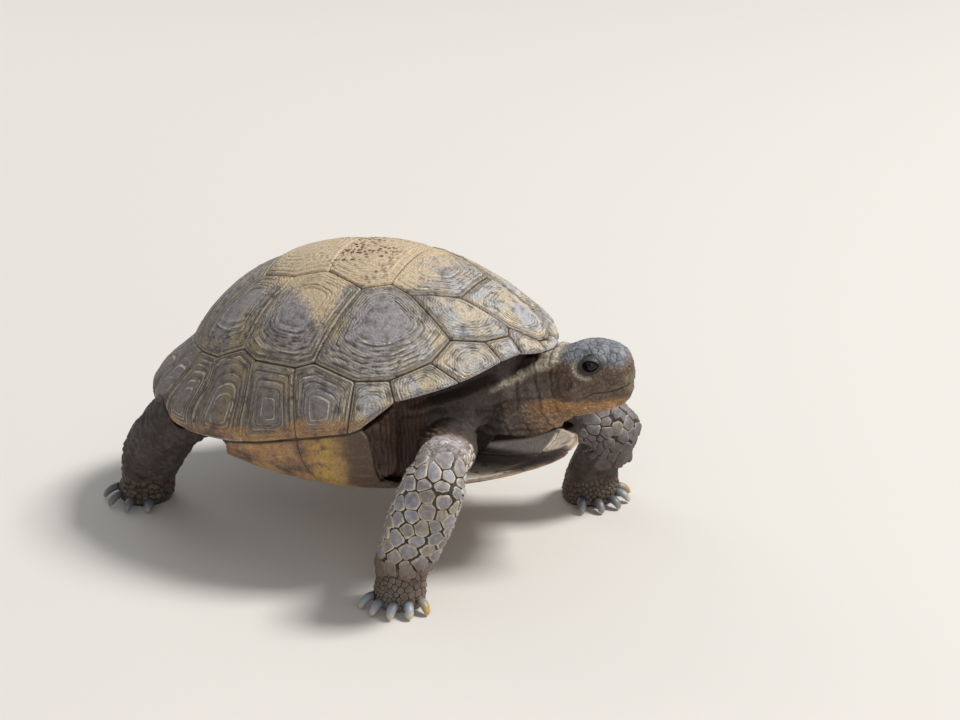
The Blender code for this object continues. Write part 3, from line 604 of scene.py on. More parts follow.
def boneShell():
    # the pale bone and seam tissue under the plates: one closed band over the dome, one under the belly
    azimuths = np.linspace(-180, 180, 181)[:-1]
    onBridge = (np.abs(azimuths) > 76) & (np.abs(azimuths) < 129)
    down = (np.arange(bone["rows"]) / bone["rows"])[:, None]
    for name, upper in (("dome_bone", True), ("belly_bone", False)):
        if upper:
            start = lineAt(rimLine, np.abs(azimuths)) + np.where(onBridge, -2.5, 1.6)
            levels = start[None] + (90 - start)[None] * down ** 1.1
        else:
            start = lineAt(lobeLine, np.abs(azimuths)) - 1.6
            levels = start[None] + (-90 - start)[None] * down ** 1.3
        deep = bone["domeDeep" if upper else "bellyDeep"]
        d = direction(np.broadcast_to(azimuths, levels.shape), levels)
        pole = direction(0.0, 90.0 if upper else -90.0)[None]
        shells = [onShell(way, depth).reshape(-1, 3) for depth in (bone["under"], deep) for way in (d, pole)]
        points = np.concatenate(shells)
        count = levels.size + 1
        index = np.arange(levels.size).reshape(levels.shape)
        after = np.roll(index, -1, axis=1)
        quads = ringFaces(index, flip=True)
        caps = np.stack([index[-1], after[-1], np.full(len(azimuths), count - 1)], -1)
        rim = np.stack([index[0], index[0] + count, after[0] + count, after[0]], -1)
        faces = quads.tolist() + caps.tolist() + rim.tolist()
        faces += (quads[:, ::-1] + count).tolist() + (caps[:, ::-1] + count).tolist()
        if upper:
            faces = [corners[::-1] for corners in faces]
        yield name, points, faces


# horn of the plates

keratin = {
    "low": "#665d56", "middle": "#7f766d", "high": "#958a7c",   # the worn horn, from hollows to heights
    # hollow is painted shade for the grooves between growth rings
    "slate": "#85848a", "ochre": "#a58d5e", "crest": "#cdc0a6", "hollow": "#2a2420", "thread": "#a79a86",
    "dust": "#b9a484", "crumb": "#5a3326", "rim": "#b4abab", "underside": "#8f6a44", "band": "#453f3a",
    # painted sunlight in grey, tan and cream, and the yellow of the bridge's band
    "paintedSunGrey": "#adaeb1", "paintedSunTan": "#c8b48e", "bridgeYellow": "#b08d47", "paintedSunCream": "#dccbb4",
    # the dome's brown here is painted shade for the low rear of the dome
    "inside": "#5b595b", "domeShadeBrown": "#5c4d41", "bellyBrown": "#574232",
    "striation": 1.7,      # millimetres between the finest growth lines, coarser than life so that they show
    "crumbSize": 0.0030,   # metres between crumbs of soil
}
bellyTones = ((0.34, "#5c4536"), (0.45, "#826149"), (0.55, "#9d7853"), (0.68, "#ad8957"))


def weatheredKeratin(name, tones=None):
    # Horn laid down in rings and worn outdoors: dull, slate and brown, a thin pale line along each crest,
    # painted shade in the ring grooves, soil settled on top, painted sunlight in front and painted shade low
    # behind. The belly's horn is smoother and stained tan, with painted sunlight on the inner faces of its
    # front lobe.
    masks = ("crest", "groove", "share", "away", "free", "out", "inside",
             "dust", "specks", "low", "sunned", "brown")
    made, tree, where, read = startMaterial(name, masks, (
        ("fine", 0.0015, 4.0), ("streaks", 0.0050, 5.0), ("lumps", 0.017, 4.0), ("patches", 0.032, 3.0)))
    read["cells"] = addNode(tree, "TexVoronoi", None, {"Vector": where, "Scale": 1 / keratin["crumbSize"]})
    addRun(tree, read, (
        ("warped", "Math", multiplyAdd, "streaks", 2.6, "out"),
        ("turns", "Math", multiply, "warped", 2 * math.pi / keratin["striation"]),
        ("lines", "Math", {"operation": "SINE"}, "turns"),
        ("drawing", "Math", multiplyAdd, "lines", 0.070, "streaks"),
        ("settled", "Math", multiplyAdd, "fine", 0.7, "dust"),
        ("swing", "Math", multiplyAdd, "streaks", 0.45, -0.225),
        ("stain", "Math", {"operation": "ADD"}, "swing", "lumps"),
        # where each layer of paint begins and where it is full
        ("lined", "MapRange", smoothed, "share", 0.30, 0.55),
        ("hub", "MapRange", smoothed, "share", 0.95, 0.40),
        ("slate", "MapRange", smoothed, "streaks", 0.26, 0.62),
        ("broken", "MapRange", smoothed, "streaks", 0.30, 0.50),
        ("ochre", "MapRange", smoothed, "patches", 0.52, 0.66),
        ("tint", "MapRange", smoothed, "lumps", 0.40, 0.60),
        ("ridge", "MapRange", smoothed, "crest", 0.22, 0.70),
        ("drawn", "MapRange", smoothed, "drawing", 0.27, 0.55),
        ("band", "MapRange", smoothed, "away", 3.6, 1.6),
        ("thread", "MapRange", smoothed, "away", 1.5, 0.8),
        ("edge", "MapRange", smoothed, "away", 2.8, 0.4),
        ("soil", "MapRange", smoothed, "settled", 0.62, 1.15),
        # the growth lines' grain, and crumbs of red soil in drifts on the crown
        ("grain", "Math", multiply, "lines", "lined"),
        ("grained", "Math", multiplyAdd, "grain", 0.02 if tones else 0.15, 0.40),
        ("shade", "Math", multiplyAdd, "fine", 1.20, "grained"),
        ("crumb", "MapRange", None, "cells", 0.50, 0.32),
        ("drift", "MapRange", None, "lumps", 0.43, 0.50),
        ("strewn", "Math", multiply, "drift", "specks"),
        ("crumbs", "Math", multiply, "crumb", "strewn"),
        ("rise", "Math", multiplyAdd, "grain", 0.10, "fine"),
        ("height", "Math", multiplyAdd, "crumbs", 0.8, "rise"),
        ("rough", "MapRange", None, "lumps", 0.0, 1.0, 0.50, 0.72),
    ))
    stops = tones or ((0.34, keratin["low"]), (0.50, keratin["middle"]), (0.66, keratin["high"]))
    colour = addNode(tree, "ValToRGB", {"stops": stops}, {"Fac": read["stain" if tones else "streaks"]})
    warm = addNode(tree, "ValToRGB", {"stops": bellyTones}, {"Fac": read["stain"]})
    sun, first, second = ("inside", "bridgeYellow", "paintedSunCream") if tones else ("tint", "paintedSunGrey", "paintedSunTan")
    lit = addNode(tree, "MixRGB", None, {0: read[sun], 1: keratin[first], 2: keratin[second]})
    plain = 0.14 if tones else 1.0  # how much of the dome's drawing this horn has
    colour = paintOver(tree, read, colour, (
        ("slate", "hub", keratin["slate"], 0.70 * plain),
        ("ochre", "broken", keratin["ochre"], 0.50 * plain),
        ("inside", "inside", keratin["inside"], 0.85 if tones else 0.0),
        # painted shade low on the rear of the dome, browner; on the belly the brown front end of the bridge
        ("brown", "brown", keratin["bellyBrown" if tones else "domeShadeBrown"], 1.0 if tones else 0.45),
        # painted sunlight on the front of the dome and on the inner faces of the front lobe; on the bridge a
        # yellow band
        ("sunned", "broken" if tones else "drawn", lit, 0.95 if tones else 0.72),
        # painted shade in the grooves between growth rings
        ("groove", "lined", keratin["hollow"], 0.75 * plain),
        ("ridge", "broken", keratin["crest"], 0.80 * plain),
        ("band", "share", keratin["band"], 0.70 * plain),
        ("thread", "broken", keratin["thread"], 0.70 * plain),
        ("low", "low", warm, 0.0 if tones else 0.92),
        ("free", "edge", keratin["rim"], 0.75 * plain),
        ("inside", "free", keratin["underside"], 0.0 if tones else 0.9),
        ("soil", "soil", keratin["dust"], 0.85),
    ))
    colour = addNode(tree, "MixRGB", darkened, {0: 0.9, 1: colour, 2: read["shade"]})
    colour = addNode(tree, "MixRGB", None, {0: read["crumbs"], 1: colour, 2: keratin["crumb"]})
    values = {"Base Color": colour, "Roughness": read["rough"]}
    return finishMaterial(made, values, read["height"], 0.6, 0.0008)


def seamTissue():
    # Young horn and skin at the bottom of the seams: pale, matt, soiled
    made, tree, _, read = startMaterial("youngHornInTheSeams", (), (("lumps", 0.014, 3.0),))
    stops = ((0.35, "#2e2620"), (0.62, "#5f503d"))
    colour = addNode(tree, "ValToRGB", {"stops": stops}, {"Fac": read["lumps"]})
    return finishMaterial(made, {"Base Color": colour, "Roughness": 0.8})


def marginalNode(name):
    # the CAD has the marginals in three runs a side
    _, label, number = name.split("_")
    run = "front" if int(number) <= 4 else "bridge" if int(number) <= 7 else "rear"
    return f"marginals_{run}_{label}"


bellyNodes = {
    "gular": "gular_horn", "humeral": "plastron_front_lobe", "pectoral": "plastron_bridge",
    "abdominal": "plastron_bridge", "femoral": "plastron_hind_lobe", "anal": "plastron_hind_lobe",
}


def stainBelly(name, points, masks):
    # the bridge is yellow behind a brown front end; the inner faces of the gular horn's far side and of the
    # near humeral get painted sunlight
    masks.update({key: np.zeros(len(points)) for key in ("dust", "specks", "low", "brown")})
    x, y, _ = unplace(points).T
    if not name.startswith(("gular", "humeral")):
        masks["inside"] = np.zeros(len(points))
    side = smoothStep(0.066, 0.078, np.abs(y))
    masks["brown"] = smoothStep(0.000, 0.017, x + 0.006 * softNoise(points, 0.008, 27)) * side
    # painted sunlight on the inner faces of the gular's far side and the near humeral, and the bridge's
    # yellow band
    far = ((y > 0.004) & (x > 0.095)) | ((x < 0.090) & (y < -0.020))
    yellow = np.exp(-((x + 0.001) / 0.009) ** 2) * side
    masks["sunned"] = np.maximum(yellow, masks["inside"] * far * (x > 0.04))


def buildShell():
    horn = weatheredKeratin("weatheredKeratin")
    belly = weatheredKeratin("soilStainedKeratin", bellyTones)
    seam = seamTissue()
    for maker in (vertebralPlates, costalPlates, rimPlates):
        for name, points, faces, masks in maker():
            addDustAndPaintedLight(points, masks)
            piece = makePiece(name + "_plate", points, faces, horn, masks)
            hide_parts(marginalNode(name) if name.startswith("marginal") else name)
    for name, points, faces, masks in bellyPlates():
        stainBelly(name, points, masks)
        piece = makePiece(name + "_plate", points, faces, belly, masks)
        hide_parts(bellyNodes[name.split("_")[0]])
    for name, points, faces in boneShell():
        makePiece(name, points, faces, seam, {})


buildShell()
print("shell plates made")


# one skin over trunk, neck, head, tail, legs and feet

jaws = ["beak_upper", "beak_lower"]
flesh = ["trunk", "neck", "head", "tail"]
for limb in ("foreleg", "forefoot", "hindleg", "hindfoot"):
    flesh += [limb + "_right", limb + "_left"]

skin = {
    "swell": 0.00035,      # closes the gaps between the solids before they are joined
    "voxel": 0.0009,
    "smoothing": 32,       # rounds
    "hiddenShare": 0.03,   # of the triangles kept where the shell hides the skin
    "hollow": 0.012,       # how far it draws back under the front rim
    "floor": 0.00005,      # no point goes lower
}
face = {                   # forward, left, up; half sizes in metres
    "eye": (0.1315, 0.0118, 0.1315), "eyeRadius": 0.0056,
    "lidWide": 0.0050, "lidHigh": 0.0036,
    "mouth": ((0.1265, 0.1105), (0.1300, 0.1118), (0.1345, 0.1146),
              (0.1400, 0.1155), (0.1460, 0.1172), (0.1540, 0.1200)),
    "nostril": (0.1512, 0.0036, 0.1300), "ear": (0.1185, 0.1200),
}
limbs = {                  # the run of each leg from its root to the sole: forward, left, up
    "foreleg_right": ((0.060, -0.060, 0.084), (0.0755, -0.0985, 0.0965), (0.067, -0.1095, 0.064),
                      (0.0505, -0.1035, 0.024), (0.047, -0.101, 0.0)),
    "foreleg_left": ((0.080, 0.048, 0.076), (0.111, 0.062, 0.064), (0.1165, 0.070, 0.053),
                     (0.100, 0.0775, 0.0235), (0.096, 0.0785, 0.0)),
    "hindleg_right": ((-0.101, -0.055, 0.082), (-0.140, -0.0545, 0.054), (-0.160, -0.039, 0.025),
                      (-0.165, -0.0345, 0.0)),
    "hindleg_left": ((-0.085, 0.058, 0.074), (-0.098, 0.077, 0.062), (-0.088, 0.085, 0.034),
                     (-0.083, 0.086, 0.0)),
    "neck": ((0.150, 0.0, 0.118), (0.125, 0.0, 0.120), (0.103, 0.0, 0.1075), (0.040, 0.0, 0.079)),
    "tail": ((-0.090, 0.002, 0.078), (-0.150, 0.026, 0.037)),
}


def applyAll(piece):
    graph = bpy.context.evaluated_depsgraph_get()
    mesh = bpy.data.meshes.new_from_object(piece.evaluated_get(graph))
    piece.modifiers.clear()
    old = piece.data
    piece.data = mesh
    bpy.data.meshes.remove(old)


def readPoints(mesh, key="co"):
    flat = np.empty(len(mesh.vertices) * 3, np.float32)
    mesh.vertices.foreach_get(key, flat)
    return flat.reshape(-1, 3).astype(float)


def writePoints(mesh, points):
    mesh.vertices.foreach_set("co", points.astype(np.float32).ravel())
    mesh.update()


def relax(values, mesh, rounds, weight=0.5, back=-0.52):
    # evens out values per point over the mesh, with a step back each time so that the form keeps its size
    edges = np.empty(len(mesh.edges) * 2, np.int32)
    mesh.edges.foreach_get("vertices", edges)
    edges = edges.reshape(-1, 2)
    count = np.maximum(np.bincount(edges.ravel(), minlength=len(values)), 1).astype(float)
    flat = values.reshape(len(values), -1).copy()
    for step in range(rounds):
        for k in range(flat.shape[1]):
            column = flat[:, k]
            total = np.bincount(edges[:, 0], column[edges[:, 1]], len(flat))
            total += np.bincount(edges[:, 1], column[edges[:, 0]], len(flat))
            flat[:, k] = column + (total / count - column) * (weight if step % 2 == 0 else back)
    return flat.reshape(values.shape)


def openings(d):
    # 1 well inside the front and rear openings of the shell, 0 under its plates
    azimuth, elevation = angles(d)
    azimuth = np.abs(azimuth)
    inside = smoothStep(-6.0, -2.0, lineAt(rimLine, azimuth) - elevation)
    inside = inside * smoothStep(-6.0, -2.0, elevation - lineAt(lobeLine, azimuth))
    return inside * np.maximum(smoothStep(90.0, 85.0, azimuth), smoothStep(120.0, 125.0, azimuth))


def joinedFlesh():
    points, faces = [], []
    for name in flesh + jaws:
        bm = bmesh.new()
        bm.from_mesh(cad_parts[name].data)
        bmesh.ops.remove_doubles(bm, verts=bm.verts, dist=1e-5)
        bm.normal_update()
        start = len(points)
        points += [vert.co + vert.normal * skin["swell"] for vert in bm.verts]
        faces += [[vert.index + start for vert in f.verts] for f in bm.faces]
        bm.free()
    mesh = bpy.data.meshes.new("skin")
    mesh.from_pydata(points, [], faces)
    piece = addObject("skin", mesh)
    fuse = piece.modifiers.new("fuse", "REMESH")
    fuse.mode = "VOXEL"
    fuse.voxel_size = skin["voxel"]
    applyAll(piece)
    mesh = piece.data
    world = relax(readPoints(mesh), mesh, skin["smoothing"])
    writePoints(mesh, world)
    # fewer triangles where the shell hides the skin
    d, far = fromShell(world)
    hidden = (far > domeRadius(d) - 0.020) & (openings(d) < 0.01) & (far < shellRadius(d))
    group = piece.vertex_groups.new(name="hidden")
    group.add(np.flatnonzero(hidden).tolist(), 1.0, "REPLACE")
    thin = piece.modifiers.new("thin", "DECIMATE")
    thin.vertex_group = "hidden"
    thin.vertex_group_factor = 1.0
    thin.ratio = 1 - hidden.mean() * (1 - skin["hiddenShare"])
    applyAll(piece)
    piece.vertex_groups.clear()
    return piece


def refine(piece, wanted):
    # halves the mesh size where wanted says so
    bm = bmesh.new()
    bm.from_mesh(piece.data)
    chosen = wanted(np.array([vert.co[:] for vert in bm.verts]))
    edges = [edge for edge in bm.edges if chosen[edge.verts[0].index] and chosen[edge.verts[1].index]]
    bmesh.ops.subdivide_edges(bm, edges=edges, cuts=1, use_grid_fill=True)
    bm.to_mesh(piece.data)
    bm.free()


def wave(x, width):
    return np.exp(-((x / width) ** 2))


def carveHead(q):
    # the brow, lids, lips, nostrils and ears, as moves of points given in forward, left, up
    x, y, z = q.T.copy()
    side = np.where(y < 0, -1.0, 1.0)
    out = np.abs(y)
    ex, ey, ez = face["eye"]
    radius = face["eyeRadius"]
    on = smoothStep(0.108, 0.116, x)
    out = out + on * 0.0012 * wave(np.hypot((x - ex) / 1.6, z - ez - 0.0068), 0.0026)
    out = out - on * 0.0012 * wave(np.hypot((x - ex - 0.0088) / 1.3, z - ez + 0.001), 0.0036)
    out = out + on * 0.0012 * wave(np.hypot(x - 0.1220, z - 0.1135), 0.0055)
    # an almond opening with rolled lids over the eyeball
    along = (x - ex - 0.0002) / face["lidWide"]
    up = (z - ez - 0.0005 * along) / np.where(z > ez, face["lidHigh"], face["lidHigh"] * 0.92)
    rho = np.sqrt(along ** 2 + np.abs(up) ** 1.8)
    away = np.hypot(x - ex, z - ez)
    ball = ey + np.sqrt(np.maximum(radius ** 2 - np.minimum(away, radius * 0.98) ** 2, 0))
    seen = (out > 0.004) & (x > 0.115)
    nearLid = np.where(seen, smoothStep(1.75, 1.25, rho), 0)
    lid = ball + 0.00065 + 0.00045 * wave(rho - 1.13, 0.11)
    out = out * (1 - nearLid) + np.maximum(lid, out - 0.0004) * nearLid
    hole = np.where(seen, smoothStep(1.03, 0.93, rho), 0)
    out = out * (1 - hole) + (ball - 0.0018) * hole
    crease = wave(rho - 1.52, 0.09) + 0.7 * wave(rho - 1.92, 0.10) + 0.3 * wave(rho - 2.3, 0.1)
    out = out - np.where(seen, 0.00045 * crease * (1 - hole), 0)
    # ear drum
    ear = np.hypot((x - face["ear"][0]) / 0.85, z - face["ear"][1])
    out = out + on * (0.0004 * wave(ear - 0.0050, 0.0009) - 0.0007 * smoothStep(0.0046, 0.0036, ear))
    # the mouth: a cleft, the upper lip proud of the lower and faintly serrated
    line = lineAt(face["mouth"], x)
    line = line + 0.00025 * np.sin(x * 2 * math.pi / 0.0016) * smoothStep(0.136, 0.142, x)
    inMouth = smoothStep(0.1262, 0.1290, x)
    shut = z - line
    lower = smoothStep(0.0, -0.0008, shut) * smoothStep(-0.006, -0.002, shut)
    pinch = inMouth * (0.0012 * wave(shut, 0.00042) + 0.0005 * lower)
    nx, ny, nz = face["nostril"]
    hollow = np.exp(-(((x - nx) / 0.0040) ** 2 + ((out - ny) / 0.0009) ** 2 + ((z - nz) / 0.0008) ** 2) * 1.2)
    ahead = unit(np.stack([np.maximum(x - 0.130, 0) * 0.9, side * out, (z - 0.118) * 0.2], -1))
    moved = np.stack([x, side * out, z], -1) - ahead * (pinch + 0.0014 * hollow)[:, None]
    corner = smoothStep(0.0030, -0.001, x - ex) * smoothStep(0.0030, -0.0010, z - ez)
    marks = {
        # the mouth's cleft is painted dark: painted shade in the slit
        "mouth": inMouth * wave(shut, 0.00042),
        "lid": np.where(seen, smoothStep(1.75, 1.35, rho), 0) * on,
        "socket": hole,
        "ring": np.where(seen, wave(rho - 2.05, 0.30) * corner, 0) * on,
        # the nostrils are painted dark: painted shade in the holes
        "nostril": hollow,
        "ear": on * smoothStep(0.0050, 0.0040, ear) * (np.abs(y) > 0.006),
    }
    return moved, marks


def limbRun(q, name):
    # distance from a limb's centre line, how far along it in metres, and its direction there
    line = np.array(limbs[name])
    best = np.full(len(q), 9.0)
    along = np.zeros(len(q))
    heading = np.zeros((len(q), 3))
    done = 0.0
    for a, b in zip(line[:-1], line[1:]):
        run = b - a
        length = np.linalg.norm(run)
        t = np.clip((q - a) @ run / length ** 2, 0, 1)
        away = np.linalg.norm(q - a - t[:, None] * run, axis=1)
        closer = away < best
        best = np.where(closer, away, best)
        along = np.where(closer, done + t * length, along)
        heading[closer] = run / length
        done += length
    return best, along, heading


def bodyPlace(q):
    # which limb each point belongs to, its place along it, and the way down the limb
    names = list(limbs)
    runs = [limbRun(q, name) for name in names]
    distance = np.array([run[0] for run in runs])
    nearest = distance.argmin(0)
    rows = np.arange(len(q))
    along = np.array([run[1] for run in runs])[nearest, rows]
    heading = np.array([run[2] for run in runs])[nearest, rows]
    return nearest, along, heading


markLines = {              # borders of the skin's marks along the neck and head: forward, up
    "nape": ((0.062, 0.104), (0.080, 0.113), (0.103, 0.1285), (0.115, 0.132)),
    "strip": ((0.070, 0.1105), (0.076, 0.1128), (0.088, 0.1172),
              (0.094, 0.1204), (0.100, 0.1250), (0.112, 0.1312)),
    "throat": ((0.040, 0.090), (0.070, 0.0985), (0.095, 0.1050),
               (0.111, 0.1080), (0.127, 0.1085), (0.150, 0.1100)),
}


def skinMarks(q):
    # the animal's colouring with painted shade and painted sunlight, the same for the skin and for the scales
    # on it: numbers 0..1 per point
    x, y, z = q.T
    p = place(q)
    head = smoothStep(0.108, 0.114, x) * smoothStep(0.030, 0.026, np.abs(y))
    neck = smoothStep(0.040, 0.050, x) * smoothStep(0.116, 0.110, x) * smoothStep(0.034, 0.029, np.abs(y))
    patch, fine = softNoise(p, 0.014, 41, 3), softNoise(p, 0.005, 47, 2)
    foot = smoothStep(0.042, 0.018, z + 0.004 * fine)
    fore = smoothStep(0.02, 0.05, x) * (1 - head) * (1 - neck)
    right = (y < 0).astype(float)
    # painted shade in the hollow under the front rim, beside the neck
    d, far = fromShell(p)
    azimuth, elevation = angles(d)
    azimuth = np.abs(azimuth)
    proud = far - shellRadius(d)
    recess = smoothStep(0.012, 0.000, proud) * smoothStep(-4.0, 0.0, lineAt(rimLine, azimuth) - elevation)
    recess = recess * (azimuth < 88) * (1 - smoothStep(0.000, 0.010, proud))
    beside, _, _ = limbRun(q, "neck")
    recess = recess * smoothStep(0.023, 0.028, beside)
    # a strip of painted sunlight along the neck, painted shade above it, and the ochre throat
    above, strip, slope = (z - lineAt(markLines[key], x) for key in ("nape", "strip", "throat"))
    neckTop = neck * smoothStep(-0.0055, 0.0005, above)
    roof = smoothStep(0.0012, 0.0030, strip) * smoothStep(0.103, 0.098, x)
    dim = neck * np.maximum(roof, smoothStep(0.080, 0.072, x))
    pale = wave(strip + 0.0004, 0.0021) * smoothStep(0.072, 0.079, x)
    pale = np.maximum(pale, neckTop * smoothStep(0.098, 0.104, x) * 0.8)
    throat = np.clip((head + neck) * smoothStep(0.0020, -0.0024, slope + 0.0016 * patch), 0, 1)
    throat = throat * smoothStep(0.084, 0.112, x + 0.006 * patch)
    throat = throat * (0.52 + 0.48 * smoothStep(-0.013, -0.004, slope))
    # the elbow knob's pale grey, partly its own colour and partly painted light
    knob = fore * right * smoothStep(0.062, 0.085, z) * smoothStep(-0.082, -0.094, y)
    armpit = fore * right * smoothStep(-0.072, -0.052, y) * smoothStep(0.066, 0.080, z)
    # painted shade over the trunk, tail and hind legs, the far foreleg, the neck and back of the head below
    # and behind the lit strip, the hollow under the rim and the armpit; also a dark line along the throat
    shades = (
        ((1 - fore) * (1 - head) * (1 - neck), 0.98 + 0.25 * foot),
        (fore * (1 - right), 0.50 + 0.42 * smoothStep(0.075, 0.045, z)),
        (neck, 0.5 * smoothStep(0.084, 0.062, x)),
        ((neck + head * smoothStep(0.118, 0.108, x)) * (1 - neckTop) * (1 - wave(strip, 0.0025)), 0.42),
        (recess, 0.85), (dim, 1.0), (armpit, 0.6), (neck * wave(slope - 0.0012, 0.0010), 0.5),
    )
    return {
        "slate": head * smoothStep(0.1285, 0.1345, z + 0.0018 * patch) * smoothStep(0.1525, 0.1480, x),
        "ochre": throat,
        # the cheek's own brown, darkened further as painted shade
        "mauve": head * smoothStep(0.1005, 0.1035, z) * smoothStep(0.134, 0.128, z) * 0.8,
        "ruddy": fore * np.clip(wave(z - 0.026, 0.014) * 0.9 + 0.25 * patch, 0, 1),
        "grey": np.clip(0.20 + 0.25 * patch + 1.0 * knob, 0, 1) * (1 - 0.7 * recess) * (1 - 0.6 * head),
        # crown is the strip of painted sunlight along the neck
        "crown": neck * pale * (0.85 + 0.5 * fine),
        "shade": np.clip(sum(where * amount for where, amount in shades), 0, 1),
        "foot": foot,
        "patch": np.clip(0.5 + 0.5 * patch, 0, 1),
    }


def reliefAt(q, normal):
    # height in metres of folds, wrinkles and small scales, with the groove and tone masks they bring
    x, y, z = q.T
    p = place(q)
    nearest, along, _ = bodyPlace(q)
    names = list(limbs)
    head = smoothStep(0.109, 0.115, x) * smoothStep(0.030, 0.026, np.abs(y))
    neck = smoothStep(0.045, 0.060, x) * smoothStep(0.116, 0.108, x) * smoothStep(0.036, 0.030, np.abs(y))
    wander = softNoise(p, 0.010, 31, 2)
    high = np.zeros(len(q))
    # folds that cross the neck, deepest just behind the head
    for at, deep in ((0.1085, 0.0011), (0.0990, 0.0013), (0.0860, 0.0005), (0.0740, 0.0006)):
        fold = x + 0.20 * (z - 0.112) + 0.0014 * wander - at
        high += neck * deep * (0.6 * wave(fold - 0.0026, 0.0016) - wave(fold, 0.0008))
    high += neck * 0.0005 * np.sin(z * 2 * math.pi / 0.0052 + 2.5 * wander) * smoothStep(0.104, 0.096, z)
    # the nape reaches up to the shell
    nape = neck * wave(np.maximum(x - 0.1000, 0), 0.0100) * smoothStep(0.056, 0.072, x)
    high += 0.0036 * nape * smoothStep(0.35, 0.80, normal[:, 2]) * (z > 0.098)
    # creases round the legs, and slanting ones where the hind leg bends
    leg = np.isin(nearest, [names.index(n) for n in names if "leg" in n]) * (1 - head) * (1 - neck)
    hind = leg * (x < 0)
    fore = leg * (x > 0)
    ring = np.sin((along + 0.0035 * wander) * 2 * math.pi / 0.0062)
    high += hind * 0.00055 * np.sign(ring) * np.abs(ring) ** 0.7
    slant = np.sin((along * 0.8 + 0.5 * y + 0.25 * z) * 2 * math.pi / 0.0047 + 1.8 * wander)
    high += hind * 0.00022 * slant
    inner = fore * smoothStep(0.55, 0.85, np.abs(softNoise(p, 0.03, 35)))
    high += inner * 0.0003 * ring
    # loose skin between the leg and the shell hangs in long upright wrinkles
    d, far = fromShell(p)
    azimuth, _ = angles(d)
    pocket = smoothStep(46, 54, np.abs(azimuth)) * smoothStep(86, 80, np.abs(azimuth))
    pocket = pocket * smoothStep(-0.34, -0.28, d[:, 2]) * smoothStep(0.38, 0.30, d[:, 2])
    pocket = pocket * smoothStep(0.000, 0.004, shellRadius(d) - far + 0.004) * (far > 0.055)
    upright = np.sin(np.radians(azimuth) * 0.095 * 2 * math.pi / 0.0066 + 1.4 * wander)
    high += pocket * (0.0020 * np.abs(upright) + 0.0012 * softNoise(p, 0.012, 37))
    # small scales: rounded cells with a groove between them
    small = np.select([head > 0.5, neck > 0.5, fore > 0.5], [0.0021, 0.0018, 0.0026], 0.0030)
    groove, tone = np.zeros(len(q)), np.full(len(q), 0.5)
    lift = np.select([head > 0.5, neck > 0.5, fore > 0.5], [0.00016, 0.00022, 0.00030], 0.00028)
    for size in np.unique(small):
        rows = np.flatnonzero(small == size)
        stretch = p[rows] + 0.0004 * np.stack([softNoise(p[rows], size * 1.5, 61 + k) for k in range(3)], -1)
        first, second, number = nearestCells(stretch, size, 71)
        gap = second - first
        groove[rows] = smoothStep(0.22, 0.03, gap)
        tone[rows] = number
        high[rows] += lift[rows] * (smoothStep(0.0, 0.42, gap) - 0.6)
    # the valleys of the wrinkles beside the leg are painted dark as well: painted shade in the creases
    groove = np.maximum(groove, pocket * smoothStep(0.50, 0.10, np.abs(upright)) * 1.4)
    # the crown of the head carries larger flat plates
    crown = head * smoothStep(0.1315, 0.1355, z)
    rows = np.flatnonzero(crown > 0.01)
    first, second, number = nearestCells(p[rows], 0.0042, 83)
    gap = second - first
    groove[rows] = groove[rows] * (1 - crown[rows]) + crown[rows] * smoothStep(0.16, 0.03, gap)
    tone[rows] = tone[rows] * (1 - crown[rows]) + crown[rows] * number
    high[rows] += crown[rows] * 0.00030 * (smoothStep(0.0, 0.22, gap) - 0.6)
    high += 0.00012 * softNoise(p, 0.0011, 93) + 0.0004 * softNoise(p, 0.009, 95) * (1 - head)
    return high, {"groove": groove, "tone": tone, "pocket": pocket}


def hollowUnderShell(q):
    # the skin draws back under the front rim beside the neck, and fills the notch before the bridge
    d, far = fromShell(place(q))
    azimuth, elevation = angles(d)
    azimuth = np.abs(azimuth)
    under = lineAt(rimLine, azimuth) - elevation
    edge = shellRadius(d)
    drawn = smoothStep(0.006, -0.004, far - edge) * smoothStep(0.070, 0.080, far)
    drawn = drawn * smoothStep(9.0, 2.5, under) * smoothStep(-6.0, -1.0, under)
    drawn = drawn * smoothStep(0.016, 0.026, -q[:, 1]) * smoothStep(66, 56, azimuth)
    notch = smoothStep(63, 69, azimuth) * smoothStep(84, 80, azimuth)
    notch = notch * smoothStep(-1.0, 2.0, under) * smoothStep(-17, -13, elevation)
    notch = notch * (far > 0.060) * (far < edge + 0.001)
    fill = np.clip(edge - 0.0035 - far, 0, skin["hollow"])
    return raiseNose(d * (far - skin["hollow"] * drawn + notch * fill)[:, None])


